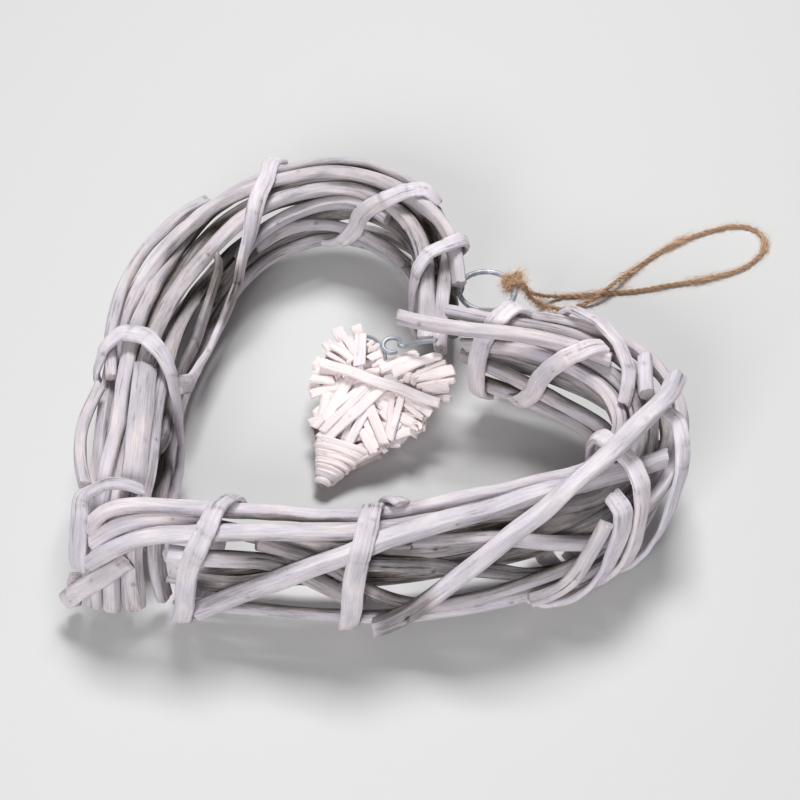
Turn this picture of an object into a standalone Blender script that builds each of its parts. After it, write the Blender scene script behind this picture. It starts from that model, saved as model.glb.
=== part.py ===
"""Wicker heart wreath, lying flat, with a small wicker heart, a wire ring and a twine loop.

The wreath is two bundles of peeled willow rods, a right and a left one.  Each bundle runs
from the tip round its lobe to the cleft.  Every rod is one closed solid, and so is every
binding that is wound round a bundle.  A small wicker heart hangs from the cleft on a wire
link.  A wire ring is hooked through the cleft and carries a knotted loop of jute twine.

Sizes are in millimetres here and are turned into metres when a mesh is made.
+Z is up, the underside of the bindings is at z = 0, +Y runs from the tip to the cleft and
+X is towards the right lobe.
"""

import bmesh
import bpy
import numpy as np
from mathutils import Vector

MM = 0.001

# Where the heart line's own zero lies, seen from the middle of the whole wreath
HEART_AT = (-3.3, 16.6, 0.0)

# Heart line: half route of each bundle, seen from above, from the tip to the cleft
TIP_Y = -111.5
CLEFT = (-2.0, 52.5)
LEG_LOW = (28.0, -83.0)
LEG_HIGH = (72.0, -38.0)
LOBE_SIDE_LOW = (95.0, 0.5)
LOBE_SIDE = (106.0, 33.0)
RIGHT_LOBE_TOP = (86.0, 77.5)
RIGHT_LOBE_IN = (44.5, 76.0)
LEFT_LOBE_TOP = (88.0, 83.5)
LEFT_LOBE_IN = (42.5, 86.0)

# Bundle sections
BINDING_WIDE = 7.0
BINDING_THICK = 4.2
REST_Z = BINDING_THICK / 2.0
BINDING_GIVE = 0.2
ROD_REST = 1.0
NEIGHBOUR_GAP = 0.75
ROD_STEP = 14.0
BINDING_STEP = 10.0
FEEL_STEP = 2.5

RIGHT = 1
LEFT = -1

# Wire and twine
RING_WIRE = 2.3
RING_OUTER = 25.5
RING_RADIUS = (RING_OUTER - RING_WIRE) / 2.0
RING_HOOK = (-1.7, 68.65, 38.0)
RING_AT = (RING_HOOK[0], RING_HOOK[1] + RING_OUTER / 2.0, RING_HOOK[2])
RING_COUNT = 16
LINK_WIRE = 1.9
TWINE = 2.5
TWINE_STEP = 3.0
KNOT_LONG = 11.0
KNOT_WIDE = 8.0
KNOT_TURN = 70.0
PIECE_GAP = 0.3

# Small heart
SMALL_TIP = (9.5, -21.0, 5.5)
SMALL_HEADING = 109.0
SMALL_TILT = 20.0
SMALL_LONG = 70.0
SMALL_WIDE = 57.0
NOTCH_DEEP = 12.0
SMALL_NOTCH = SMALL_LONG - NOTCH_DEEP
SMALL_CORE = 4.0
LOBE_FROM = -28.0
LOBE_TO = 138.0
LOBE_COUNT = 6
FLANK_BULGE = 2.6
FLANK_SHARES = (0.4, 0.7)
STRIP_WIDE = 4.4
STRIP_THICK = 2.2
STRIP_SINK = 0.9
STRIP_STAGGER = 0.11
WINDING_SIDES = 8
WINDING_RISE = 0.22

# Wound tip of the small heart: distance from the tip and half width there
WINDING_STEPS = ((0.2, 2.2), (3.2, 4.4), (9.0, 7.2), (15.0, 10.4))

# Strips of the small heart: both ends as shares of its half width and of its length, and the
# layer from the core outward
SMALL_STRIPS = (
    ((-0.316, 0.171), (0.877, 0.657), 1), ((-0.596, 0.300), (0.667, 0.829), 1),
    ((-0.807, 0.471), (0.351, 0.943), 1), ((-0.947, 0.571), (-0.281, 0.971), 1),
    ((0.140, 0.200), (-0.667, 0.857), 2), ((0.456, 0.286), (-0.140, 0.829), 2),
    ((-0.877, 0.800), (0.772, 0.429), 2), ((0.316, 0.171), (-0.877, 0.657), -1),
    ((0.596, 0.300), (-0.667, 0.829), -1), ((0.807, 0.471), (-0.351, 0.943), -1),
    ((0.947, 0.571), (0.281, 0.971), -1), ((-0.140, 0.200), (0.667, 0.857), -2),
    ((-0.456, 0.286), (0.140, 0.829), -2),
)

# Wire link, from the cleft down to its eye at the small heart's notch
LINK_FROM = (8.0, 43.5, 42.5)
LINK_OVER_NOTCH = (3.4, 6.6, 8.2)
LINK_ARCH = 0.8
LINK_EYE = 3.6
EYE_TURN = 330.0
EYE_COUNT = 9
EYE_SINK = 1.2

# Where the twine loop leaves the knot and comes back to it, from the knot's centre
TWINE_OUT = (-2.1, 5.5, -2.4)
TWINE_BACK = (2.1, 5.5, -2.4)

# Route of the twine loop between its two ends, down to the table and over it
LIE = TWINE / 2.0
LIFT = LIE + 1.35 * TWINE
TWINE_ROUTE = ((-2.0, 105.5, 22.0), (-3.9, 115.0, 12.0), (-4.7, 124.0, 4.0),
               (-2.0, 131.0, LIE), (3.4, 137.5, LIE), (9.1, 146.0, LIE), (19.3, 160.0, LIE),
               (24.8, 170.0, LIE), (30.7, 180.0, LIE), (36.5, 191.5, LIE), (41.3, 206.0, LIE),
               (40.8, 217.5, LIE), (36.9, 225.6, LIE), (29.6, 228.8, LIE), (21.6, 225.0, LIE),
               (15.5, 214.5, LIE), (11.2, 202.0, LIE), (8.6, 188.0, LIE), (8.2, 174.0, LIE),
               (8.8, 162.0, 2.2), (10.0, 152.5, LIFT), (10.6, 144.5, LIFT), (9.4, 137.5, 2.6),
               (7.0, 131.5, LIE), (4.3, 126.0, LIE), (1.3, 119.5, 4.5), (0.6, 112.0, 12.0),
               (1.9, 104.5, 22.0))


def metres(points):
    """Points of the heart line's millimetre frame as metres about the wreath's middle."""
    return (np.array(points, float) + HEART_AT) * MM


def smooth_route(points, count):
    """Natural cubic curve through the route points, read at `count` even places."""
    pts = np.array(points, float)
    if len(pts) == 2:
        return pts[0] + np.linspace(0.0, 1.0, count)[:, None] * (pts[1] - pts[0])
    run = np.concatenate([[0.0], np.cumsum(np.linalg.norm(np.diff(pts, axis=0), axis=1))])
    gap = np.diff(run)
    n = len(pts)
    system = np.eye(n)
    right = np.zeros((n, pts.shape[1]))
    for i in range(1, n - 1):
        system[i, i - 1] = gap[i - 1]
        system[i, i] = 2.0 * (gap[i - 1] + gap[i])
        system[i, i + 1] = gap[i]
        slope_on = (pts[i + 1] - pts[i]) / gap[i]
        slope_in = (pts[i] - pts[i - 1]) / gap[i - 1]
        right[i] = 6.0 * (slope_on - slope_in)
    bend = np.linalg.solve(system, right)
    at = np.linspace(0.0, run[-1], count)
    k = np.clip(np.searchsorted(run, at, side="right") - 1, 0, n - 2)
    h = gap[k][:, None]
    a = (run[k + 1] - at)[:, None]
    b = (at - run[k])[:, None]
    value = bend[k] * a ** 3 / (6.0 * h) + bend[k + 1] * b ** 3 / (6.0 * h)
    value += (pts[k] / h - bend[k] * h / 6.0) * a
    value += (pts[k + 1] / h - bend[k + 1] * h / 6.0) * b
    return value


def even_steps(line, step):
    """The same line with its points an even step apart."""
    run = np.concatenate([[0.0], np.cumsum(np.linalg.norm(np.diff(line, axis=0), axis=1))])
    count = max(2, int(round(run[-1] / step)) + 1)
    at = np.linspace(0.0, run[-1], count)
    return np.stack([np.interp(at, run, line[:, k]) for k in range(line.shape[1])], axis=1)


class HeartLine:
    """Centre line of one bundle, with its stations, outward directions and straight ends."""

    RUN_ON = 60

    def __init__(self, side):
        lobe = [RIGHT_LOBE_TOP, RIGHT_LOBE_IN] if side == RIGHT else [LEFT_LOBE_TOP, LEFT_LOBE_IN]
        half = [LEG_LOW, LEG_HIGH, LOBE_SIDE_LOW, LOBE_SIDE] + lobe
        route = [(0.0, TIP_Y)] + [(side * x, y) for x, y in half] + [CLEFT]
        line = smooth_route(route, 1200)
        run = np.concatenate([[0.0], np.cumsum(np.linalg.norm(np.diff(line, axis=0), axis=1))])
        way = np.gradient(line, axis=0)
        way /= np.linalg.norm(way, axis=1)[:, None]
        on = np.arange(1.0, self.RUN_ON + 1.0)
        before = line[0] - on[::-1, None] * way[0]
        after = line[-1] + on[:, None] * way[-1]
        self.length = run[-1]
        self.run = np.concatenate([-on[::-1], run, run[-1] + on])
        self.line = np.vstack([before, line, after])
        ways = np.vstack([np.repeat(way[:1], self.RUN_ON, 0), way,
                          np.repeat(way[-1:], self.RUN_ON, 0)])
        self.out = np.stack([ways[:, 1], -ways[:, 0]], axis=1) * side

    def place(self, station, outward, height):
        """World points from stations, outward offsets and heights."""
        x = np.interp(station, self.run, self.line[:, 0])
        y = np.interp(station, self.run, self.line[:, 1])
        nx = np.interp(station, self.run, self.out[:, 0])
        ny = np.interp(station, self.run, self.out[:, 1])
        return np.stack([x + nx * outward, y + ny * outward, height], axis=1)


LINES = {RIGHT: HeartLine(RIGHT), LEFT: HeartLine(LEFT)}

# Half width, underside and top of the rods of a bundle at a few shares of its length
SHARE = (0.0, 0.3, 0.5, 0.68, 0.85, 1.0)
HALF_WIDE = (14.0, 14.5, 14.5, 13.5, 11.5, 10.5)
UNDER = {RIGHT: (4.9, 4.9, 6.5, 7.5, 7.0, 8.0), LEFT: (4.9, 4.9, 6.0, 9.5, 9.0, 8.5)}
OVER = {RIGHT: (54.0, 56.5, 55.5, 54.0, 54.0, 54.0), LEFT: (53.5, 56.0, 54.5, 52.0, 53.0, 53.0)}


class Strand:
    """One rod, strip or binding: its route, its section and how readily it gives way."""

    def __init__(self, name, points, wide, thick, give, lowest):
        self.name = name
        self.wide = wide
        self.thick = thick
        self.give = give
        self.lowest = lowest
        self.start = np.array(points)
        self.points = self.start.copy()

    def flat(self):
        """Whether it is a flat strip."""
        return self.wide > 1.1 * self.thick


def rod(name, side, wide, route, thick=None, give=1.0):
    """A willow rod through route points given as (station, outward, height)."""
    pts = smooth_route(route, 400)
    line = even_steps(LINES[side].place(pts[:, 0], pts[:, 1], pts[:, 2]), ROD_STEP)
    thick = thick or wide
    return Strand(name, line, wide, thick, give, thick / 2.0 + ROD_REST)


def binding(name, side, turns, lift=0.0, wide=BINDING_WIDE):
    """A binding round a bundle through (angle, station) pairs; 0 is outward and 90 is up."""
    pts = smooth_route(turns, 400)
    heart = LINES[side]
    share = np.clip(pts[:, 1] / heart.length, 0.0, 1.0)
    half = np.interp(share, SHARE, HALF_WIDE) + BINDING_THICK / 2.0 + lift
    low = np.interp(share, SHARE, UNDER[side]) - BINDING_THICK / 2.0
    high = np.interp(share, SHARE, OVER[side]) + BINDING_THICK / 2.0 + lift
    low = np.maximum(low - 0.3, REST_Z)
    angle = np.radians(pts[:, 0])
    c = np.cos(angle)
    s = np.sin(angle)
    outward = half * np.sign(c) * np.abs(c) ** 0.62
    height = (high + low) / 2.0 + (high - low) / 2.0 * np.sign(s) * np.abs(s) ** 0.62
    line = even_steps(heart.place(pts[:, 1], outward, height), BINDING_STEP)
    return Strand(name, line, wide, BINDING_THICK, BINDING_GIVE, REST_Z)


def willow():
    """Every rod, strip and binding of the wreath."""
    return [
        # Right bundle, rods at the top that overrun the tip
        rod("right_inner_top_rail", RIGHT, 5.6,
            [(-8, -5, 44), (-2, -6, 53), (8, -7.4, 56), (25, -8, 55.5), (49, -10.2, 53),
             (90, -10.8, 52.5), (112, -12.2, 52.5), (130, -13, 52.5), (146, -12.8, 52),
             (164, -12, 51.5), (179, -10.5, 50.5), (192, -9, 49), (245, -10.5, 48),
             (290, -9, 45), (316, -8, 38)]),
        rod("right_second_rail", RIGHT, 5.2,
            [(-9, -1.5, 41), (-2, -2.5, 47), (9, -4, 50.5), (20, -4.5, 50.5), (34, -5, 47),
             (60, -2, 43), (120, 3, 40), (180, 3, 38), (240, 2, 39), (296, 0, 41)]),
        rod("right_third_rail", RIGHT, 6.6,
            [(-10, 3, 35), (-3, 4, 42), (8, 3.6, 49), (26, 2.5, 51), (60, 1, 52), (100, -3, 50),
             (150, -5, 46),
             (190, 1, 46), (225, -4, 49), (266, -3, 49), (296, -2, 46)]),
        # Right bundle, long slanting rods of the outer face
        rod("right_rising_rod", RIGHT, 6.8,
            [(27, 12, 11), (51, 11.5, 28), (78, 10, 45), (104, 4, 52), (135, -1, 52),
             (165, -2, 52), (187, 3, 51), (207, 15, 47)]),
        rod("right_crossing_rod", RIGHT, 7.4,
            [(90, 12, 9), (101, 12, 15.5), (112, 12, 26), (127, 11.5, 41), (139, 9.5, 49),
             (155, 5.8, 55), (169, 0.4, 58), (184, -1.5, 59.5), (199, -1, 60),
             (212, 2.2, 59.5), (229, 9.5, 57)], give=0.6),
        rod("right_falling_rod", RIGHT, 6.2,
            [(19, 9, 47), (40, 9, 44), (60, 5, 37), (78, 7, 27), (90, 9, 19)]),
        rod("right_falling_strip", RIGHT, 5.0,
            [(52, 4, 46), (66, 6, 44), (82, 8, 37), (95, 10, 27), (108, 10, 18), (128, 9, 15),
             (152, 9, 19), (190, 8, 25), (228, 8, 27)]),
        rod("right_bottom_rod", RIGHT, 4.8,
            [(18, 9, 8.5), (60, 10, 8.5), (110, 11, 9), (160, 11, 10), (190, 10, 12),
             (230, 10, 15), (270, 9, 15), (304, 7, 16)]),
        rod("right_far_falling_rod", RIGHT, 4.8,
            [(88, 6, 47), (112, 5, 41), (135, 5, 29), (160, 6, 17), (182, 5, 12)]),
        rod("right_face_rod", RIGHT, 5.8,
            [(108, 2, 42), (135, 5, 42), (157, 9, 37), (182, 10, 24)]),
        rod("right_lobe_rod", RIGHT, 5.8,
            [(132, 0, 38), (160, 3, 32), (190, 6, 37), (220, 7, 36), (260, 6, 33),
             (300, 4, 32)]),
        rod("right_lobe_slant", RIGHT, 5.2,
            [(150, 6, 10), (162, 9, 18), (170, 10, 34), (177, 8, 46)]),
        rod("right_core_rod", RIGHT, 5.8,
            [(18, 4, 24), (40, 5, 20), (70, 2, 24), (105, 2, 25), (150, 1, 25), (200, 2, 25),
             (255, 1, 24), (308, 1, 24)]),
        rod("right_inner_middle_rod", RIGHT, 5.8,
            [(17, -9, 32), (60, -10, 34), (110, -10, 32), (160, -9, 34), (205, -9, 37),
             (235, -9, 29), (262, -9, 25), (290, -8, 29), (314, -7, 33)]),
        rod("right_inner_bottom_rod", RIGHT, 5.8,
            [(18, -8, 9), (80, -10, 9), (150, -10, 10), (200, -9, 12), (250, -9, 13),
             (285, -8, 15), (308, -7, 17)]),
        rod("right_inner_slant", RIGHT, 5.0,
            [(24, -4, 12), (60, -7, 19), (110, -9, 22), (170, -6, 20), (215, -9, 24),
             (250, -9, 36), (285, -8, 37), (308, -6, 34)]),
        rod("right_lobe_top_rod", RIGHT, 5.6,
            [(184, 10, 36), (212, 11, 44), (240, 10, 49), (266, 10, 50), (286, 8, 49),
             (302, 5, 48), (316, 3, 46)]),
        rod("right_lobe_top_strip", RIGHT, 5.2,
            [(196, 9, 29), (222, 4, 42), (244, 4, 47), (275, 2, 48), (300, -4, 50),
             (324, -5, 50)]),
        rod("right_stub_rod", RIGHT, 5.8, [(227, -1, 54), (244, 7, 55)]),
        rod("cleft_crossing_rod", RIGHT, 5.4,
            [(341, -12, 55), (322, -12, 54.5), (300, -9, 55), (275, -3, 54), (252, 2, 53)],
            give=0.6),
        # Left bundle, rods that slope down and overrun the tip
        rod("left_first_rod", LEFT, 6.0,
            [(-6.5, 10.3, 8.5), (-2, 9.6, 24), (7, 8.5, 38), (22, 7, 47), (60, 7, 51), (110, 8, 50), (150, 10, 47),
             (200, 10, 46), (250, 9, 47), (290, 5, 48), (330, 1, 46), (352, 2, 39)]),
        rod("left_second_rod", LEFT, 6.0,
            [(-6.5, 4.1, 8.5), (-2, 3.5, 24), (7, 2.5, 38), (24, 1, 47), (60, -1, 51), (110, -3, 51), (160, -8, 49),
             (205, -10, 46), (250, -9, 44), (290, -8, 45), (326, -6, 45), (350, -4, 38)]),
        rod("left_inner_edge_rod", LEFT, 5.4,
            [(-6, -8.3, 8.5), (-1.5, -8.3, 24), (7, -9, 37), (24, -11, 45), (60, -11, 47), (100, -11, 44),
             (130, -8, 37), (160, -6, 31)]),
        rod("left_tip_rod", LEFT, 5.8,
            [(-6.5, -2.1, 8.5), (-2, -2.6, 23), (7, -3.5, 34), (26, -4, 41), (70, 3, 43), (120, 3, 45), (165, 5, 41),
             (210, 4, 39), (262, 4, 39), (318, 3, 38)]),
        rod("left_inner_stub", LEFT, 6.4,
            [(-5, -14.8, 8.5), (-2, -13.6, 20), (1.5, -13, 31), (4, -13.5, 38)]),
        rod("left_outer_stub", LEFT, 5.6,
            [(-6.5, 16.8, 8.5), (-5.5, 15.8, 15), (-4, 15, 23)]),
        rod("left_top_strip", LEFT, 9.0,
            [(17, -6, 49), (36, -6, 53), (60, -5, 54), (80, -4, 52)], thick=3.6),
        rod("left_outer_top_rod", LEFT, 5.6,
            [(14, 11, 37), (40, 11, 42), (80, 12, 45), (120, 11, 49), (165, 4, 52),
             (205, -3, 52), (240, -5, 51), (275, -2, 51), (300, 3, 50), (324, 6, 45)]),
        rod("left_inner_strip", LEFT, 8.0,
            [(50, -12, 32), (85, -11.5, 29), (119, -11.5, 25), (138, -12, 35),
             (153, -12, 46)], thick=3.8),
        rod("left_inner_bottom_rod", LEFT, 5.8,
            [(17, -9, 13), (70, -10, 10), (120, -10, 11), (160, -9, 15), (203, -9, 17),
             (240, -8, 16), (276, -7, 16), (312, -6, 17)]),
        rod("left_lobe_inner_rod", LEFT, 5.6,
            [(164, -11, 32), (186, -12, 36), (215, -12, 38), (245, -11, 40), (268, -10, 40)]),
        rod("left_lobe_low_rod", LEFT, 5.6,
            [(142, -7, 19), (187, -9, 19), (215, -9, 21), (250, -8, 27), (290, -7, 31),
             (322, -5, 33)]),
        rod("left_lobe_falling_rod", LEFT, 5.0,
            [(178, -11, 29), (210, -11.5, 28), (245, -11, 21), (282, -8, 19)]),
        rod("left_outer_middle_rod", LEFT, 5.8,
            [(20, 11, 25), (80, 12, 27), (140, 11, 29), (200, 10, 30), (260, 9, 31),
             (312, 8, 30)]),
        rod("left_outer_bottom_rod", LEFT, 5.8,
            [(19, 9, 8.5), (80, 10, 8.5), (150, 10, 7), (195, 9, 4), (230, 9, 4), (265, 8, 8),
             (300, 7, 13), (322, 6, 15)]),
        rod("left_core_rod", LEFT, 5.6,
            [(17, 2, 20), (70, 0, 19), (140, 0, 22), (200, 0, 22), (260, 1, 23),
             (316, 0, 23)]),
        rod("left_rising_core_rod", LEFT, 5.4,
            [(40, 4, 11), (80, 5, 19), (130, 4, 32), (170, 4, 33), (225, 3, 31), (300, 2, 30)]),
        rod("left_outer_bow", LEFT, 4.6,
            [(70, 10, 48), (100, 14.5, 50), (130, 15, 51), (158, 11, 50), (176, 8.5, 46)]),
        rod("left_side_bow", LEFT, 4.6, [(19, 11, 47), (42, 16.5, 49), (68, 12, 50)]),
        # Right bindings
        binding("right_leg_binding_low", RIGHT,
                [(158, 46), (135, 44), (110, 41), (90, 38), (45, 33), (0, 28), (-45, 24),
                 (-90, 25), (-135, 30), (-180, 36)]),
        binding("right_leg_binding_high", RIGHT,
                [(140, 97), (110, 96), (90, 94), (45, 91), (0, 88), (-45, 86), (-90, 88),
                 (-135, 93), (-180, 98), (-225, 105), (-245, 108)]),
        binding("right_lobe_binding_a", RIGHT,
                [(-100, 150), (-60, 158), (-25, 170), (0, 176), (32, 179), (60, 180), (78, 180)]),
        binding("right_lobe_binding_b", RIGHT,
                [(200, 206), (165, 203), (125, 199), (90, 194), (55, 190), (25, 188), (0, 186),
                 (-30, 182), (-60, 176), (-95, 169), (-130, 166), (-165, 168)], lift=2.0),
        binding("right_lobe_binding_c", RIGHT,
                [(84, 222), (62, 215), (38, 208), (12, 203), (-15, 197), (-45, 189),
                 (-75, 179), (-105, 172)], lift=2.0),
        rod("right_lobe_top_binding", RIGHT, 5.6,
            [(288, 12.5, 40), (282, 10.5, 50), (268, 6, 54.5), (250, -3, 55), (232, -10, 54),
             (220, -11, 50)], thick=4.2, give=0.5),
        binding("right_lobe_inner_binding", RIGHT,
                [(86, 256), (100, 259), (120, 263), (145, 269), (170, 275), (190, 281),
                 (208, 287), (222, 291)]),
        binding("right_cleft_binding", RIGHT,
                [(45, 292), (66, 295), (90, 299), (115, 302), (145, 305), (180, 307),
                 (212, 306), (240, 303)]),
        # Left bindings
        binding("left_lobe_long_binding", LEFT,
                [(55, 210), (75, 206), (95, 197), (122, 183), (150, 174), (172, 163),
                 (187, 148), (193, 126), (188, 104), (178, 84)]),
        binding("left_lobe_inner_binding", LEFT,
                [(50, 280), (68, 277), (92, 271), (120, 267), (150, 260), (175, 250),
                 (200, 236), (218, 223)]),
        binding("left_cleft_binding", LEFT,
                [(5, 297), (45, 303), (90, 311), (130, 319), (180, 323), (230, 320),
                 (262, 316)], wide=6.0),
        binding("left_leg_binding", LEFT,
                [(5, 74), (30, 79), (55, 85), (78, 89), (98, 87), (122, 80), (150, 72),
                 (180, 66), (205, 58), (240, 45), (270, 38), (300, 36)]),
        rod("tip_binding", LEFT, 7.0,
            [(16, -14, 55), (15, -8, 57.5), (14, 1, 57.5), (13, 7, 56), (11.5, 11.5, 51),
             (7, 12.5, 43), (2, 14, 34), (-1.5, 15, 26)], thick=4.2, give=0.35),
        rod("tip_band", LEFT, 6.6,
            [(-8.5, 22.5, 12), (-8.5, 16, 19), (-8, 8, 26), (-6.5, 1.5, 31), (-3.5, -5.5, 35)],
            thick=4.0, give=0.5),
    ]


def strip_side(points):
    """Direction of a strip's wide side at every point: level with the bundle's surface."""
    way = np.gradient(points, axis=0)
    way /= np.linalg.norm(way, axis=1)[:, None]
    middle = np.array([bundle_middle(p) for p in points])
    face = points - middle
    face -= (face * way).sum(axis=1)[:, None] * way
    face /= np.linalg.norm(face, axis=1)[:, None]
    return np.cross(way, face)


def bundle_middle(point):
    """Point inside the nearer bundle that a strip at `point` faces away from."""
    best = None
    for heart in LINES.values():
        gap = np.linalg.norm(heart.line - point[:2], axis=1)
        k = int(np.argmin(gap))
        if best is None or gap[k] < best[0]:
            best = (gap[k], heart.line[k])
    core_low = 22.0
    core_high = 40.0
    return np.array([best[1][0], best[1][1], min(max(point[2], core_low), core_high)])


class Feelers:
    """Balls set closely along every strand, which keep the strands clear of each other."""

    def __init__(self, strands):
        self.strands = strands
        self.first = np.cumsum([0] + [len(s.points) for s in strands])
        owner, low, share, reach, across = [], [], [], [], []
        for number, strand in enumerate(strands):
            runs = np.linalg.norm(np.diff(strand.points, axis=0), axis=1)
            rows = [0.0]
            if strand.flat():
                edge = (strand.wide - strand.thick) / 2.0
                rows = [-edge, edge] if edge < strand.thick else [-edge, 0.0, edge]
            for k, run in enumerate(runs):
                steps = max(1, int(round(run / FEEL_STEP)))
                for step in range(steps + (k == len(runs) - 1)):
                    for row in rows:
                        owner.append(number)
                        low.append(self.first[number] + k)
                        share.append(step / steps)
                        reach.append(strand.thick / 2.0)
                        across.append(row)
        self.owner = np.array(owner)
        self.low = np.array(low)
        self.share = np.array(share)
        self.reach = np.array(reach)
        self.across = np.array(across)[:, None]
        self.give = np.array([s.give for s in strands])[self.owner]
        self.span = np.searchsorted(self.owner, np.arange(len(strands) + 1))
        self.turn_sides()

    def turn_sides(self):
        """Work out again which way the wide sides of the strips face."""
        sides = [strip_side(s.points) if s.flat() else np.zeros_like(s.points) for s in self.strands]
        self.offset = self.across * np.vstack(sides)[self.low]

    def places(self):
        """Where the balls are now."""
        points = np.vstack([s.points for s in self.strands])
        share = self.share[:, None]
        return points[self.low] * (1.0 - share) + points[self.low + 1] * share + self.offset

    def near_pairs(self, slack):
        """Pairs of balls of different strands that are within `slack` of touching."""
        at = self.places()
        reach = self.reach
        rows = [at[a:b] for a, b in zip(self.span, self.span[1:])]
        low = np.array([row.min(axis=0) for row in rows]) - slack - reach.max()
        high = np.array([row.max(axis=0) for row in rows]) + slack + reach.max()
        pairs = []
        for one in range(len(rows)):
            for two in range(one + 1, len(rows)):
                if (low[one] > high[two]).any() or (low[two] > high[one]).any():
                    continue
                a = self.span[one]
                b = self.span[two]
                gap = ((rows[one][:, None, :] - rows[two][None, :, :]) ** 2).sum(axis=2)
                i, j = np.nonzero(gap < (reach[a] + reach[b] + slack) ** 2)
                pairs.append(np.stack([a + i, b + j], axis=1))
        return np.vstack(pairs)


def eased(shift, share):
    """A shift along a strand, evened out between neighbouring points."""
    padded = np.vstack([shift[:1], shift, shift[-1:]])
    return shift + share * (padded[:-2] - 2.0 * shift + padded[2:])


def lay_clear(strands, rounds=260, even_until=200):
    """Move the strands apart, each as little as it can, until none touches another."""
    feelers = Feelers(strands)
    total = feelers.first[-1]
    for turn in range(rounds):
        if turn % 10 == 0:
            feelers.turn_sides()
            pairs = feelers.near_pairs(NEIGHBOUR_GAP + 4.0)
        at = feelers.places()
        i, j = pairs.T
        way = at[j] - at[i]
        gap = np.linalg.norm(way, axis=1) + 1e-9
        lack = feelers.reach[i] + feelers.reach[j] + NEIGHBOUR_GAP - gap
        hit = lack > 0.0
        i, j, move = i[hit], j[hit], way[hit] * (lack[hit] / gap[hit])[:, None]
        give_i, give_j = feelers.give[i], feelers.give[j]
        both = give_i + give_j + 1e-9
        ball = np.concatenate([i, i, j, j])
        knot = feelers.low[ball]
        part = feelers.share[ball]
        later = np.repeat([False, True, False, True], len(i))
        part = np.where(later, part, 1.0 - part)
        knot = knot + later
        away = np.concatenate([-give_i / both, -give_i / both, give_j / both, give_j / both]) * part
        move = np.tile(move, (4, 1)) * away[:, None]
        load = np.bincount(knot, part ** 2, total)
        push = np.stack([np.bincount(knot, move[:, k], total) for k in range(3)], axis=1)
        push /= np.maximum(load, 0.35)[:, None]
        for number, strand in enumerate(strands):
            if strand.give == 0.0:
                continue
            span = slice(feelers.first[number], feelers.first[number + 1])
            shift = strand.points + push[span] - strand.start
            if turn < even_until:
                shift = eased(shift, 0.16)
            strand.points = strand.start + shift
            strand.points[:, 2] = np.maximum(strand.points[:, 2], strand.lowest)


def thinned(points, slack=0.45):
    """The same route without the points that lie on a straight run, within `slack`."""
    keep = [0, len(points) - 1]
    spans = [(0, len(points) - 1)]
    while spans:
        a, b = spans.pop()
        if b - a < 2:
            continue
        way = points[b] - points[a]
        way /= np.linalg.norm(way)
        rel = points[a + 1:b] - points[a]
        off = np.linalg.norm(rel - (rel @ way)[:, None] * way, axis=1)
        k = int(np.argmax(off))
        if off[k] > slack:
            keep.append(a + 1 + k)
            spans += [(a, a + 1 + k), (a + 1 + k, b)]
    return points[sorted(keep)]


def clear_scene():
    """Remove the objects of the open scene."""
    for thing in list(bpy.data.objects):
        bpy.data.objects.remove(thing, do_unlink=True)


def finish(name, colour, roughness, metallic=0.0):
    """A plain finish."""
    material = bpy.data.materials.new(name)
    material.use_nodes = True
    shader = material.node_tree.nodes["Principled BSDF"]
    shader.inputs["Base Color"].default_value = (*colour, 1.0)
    shader.inputs["Roughness"].default_value = roughness
    shader.inputs["Metallic"].default_value = metallic
    return material


def curve_object(name, points, thickness, collection, material, closed=False, sides=2):
    """A wire, rod or cord: a poly curve with a round section and filled caps."""
    data = bpy.data.curves.new(name, "CURVE")
    data.dimensions = "3D"
    data.bevel_depth = thickness / 2.0 * MM
    data.bevel_resolution = sides
    data.use_fill_caps = not closed
    spline = data.splines.new("POLY")
    spline.points.add(len(points) - 1)
    flat = np.concatenate([metres(points), np.ones((len(points), 1))], axis=1)
    spline.points.foreach_set("co", flat.ravel())
    spline.use_cyclic_u = closed
    data.materials.append(material)
    thing = bpy.data.objects.new(name, data)
    collection.objects.link(thing)
    return thing


def strip_object(strand, collection, material):
    """A flat strip: a six-sided section lofted along the route, flat side to the bundle."""
    points = thinned(strand.points)
    way = np.gradient(points, axis=0)
    way /= np.linalg.norm(way, axis=1)[:, None]
    side = strip_side(points)
    up = np.cross(side, way)
    half = strand.wide / 2.0
    flat = half - strand.thick / 2.0
    deep = strand.thick / 2.0
    section = [(half, 0.0), (flat, deep), (-flat, deep), (-half, 0.0), (-flat, -deep), (flat, -deep)]
    rings = [[at + across * x + high * y for x, y in section]
             for at, across, high in zip(points, side, up)]
    return mesh_object(strand.name, lofted(rings), collection, material)


def lofted(rings):
    """A closed mesh through rings of points, with a flat face at both ends."""
    mesh = bmesh.new()
    made = [[mesh.verts.new(Vector(p)) for p in metres(ring)] for ring in rings]
    count = len(rings[0])
    for one, two in zip(made, made[1:]):
        for k in range(count):
            n = (k + 1) % count
            mesh.faces.new((one[k], one[n], two[n], two[k]))
    mesh.faces.new(made[0][::-1])
    mesh.faces.new(made[-1])
    bmesh.ops.recalc_face_normals(mesh, faces=mesh.faces)
    return mesh


def mesh_object(name, mesh, collection, material):
    """An object that holds a finished mesh."""
    data = bpy.data.meshes.new(name)
    mesh.to_mesh(data)
    mesh.free()
    data.materials.append(material)
    thing = bpy.data.objects.new(name, data)
    collection.objects.link(thing)
    return thing


def joined(target, others):
    """Join other solids to the target by exact unions."""
    for number, other in enumerate(others):
        union = target.modifiers.new(f"join_{number}", "BOOLEAN")
        union.operation = "UNION"
        union.solver = "EXACT"
        union.object = other
        other.hide_render = True
        other.display_type = "WIRE"


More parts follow.
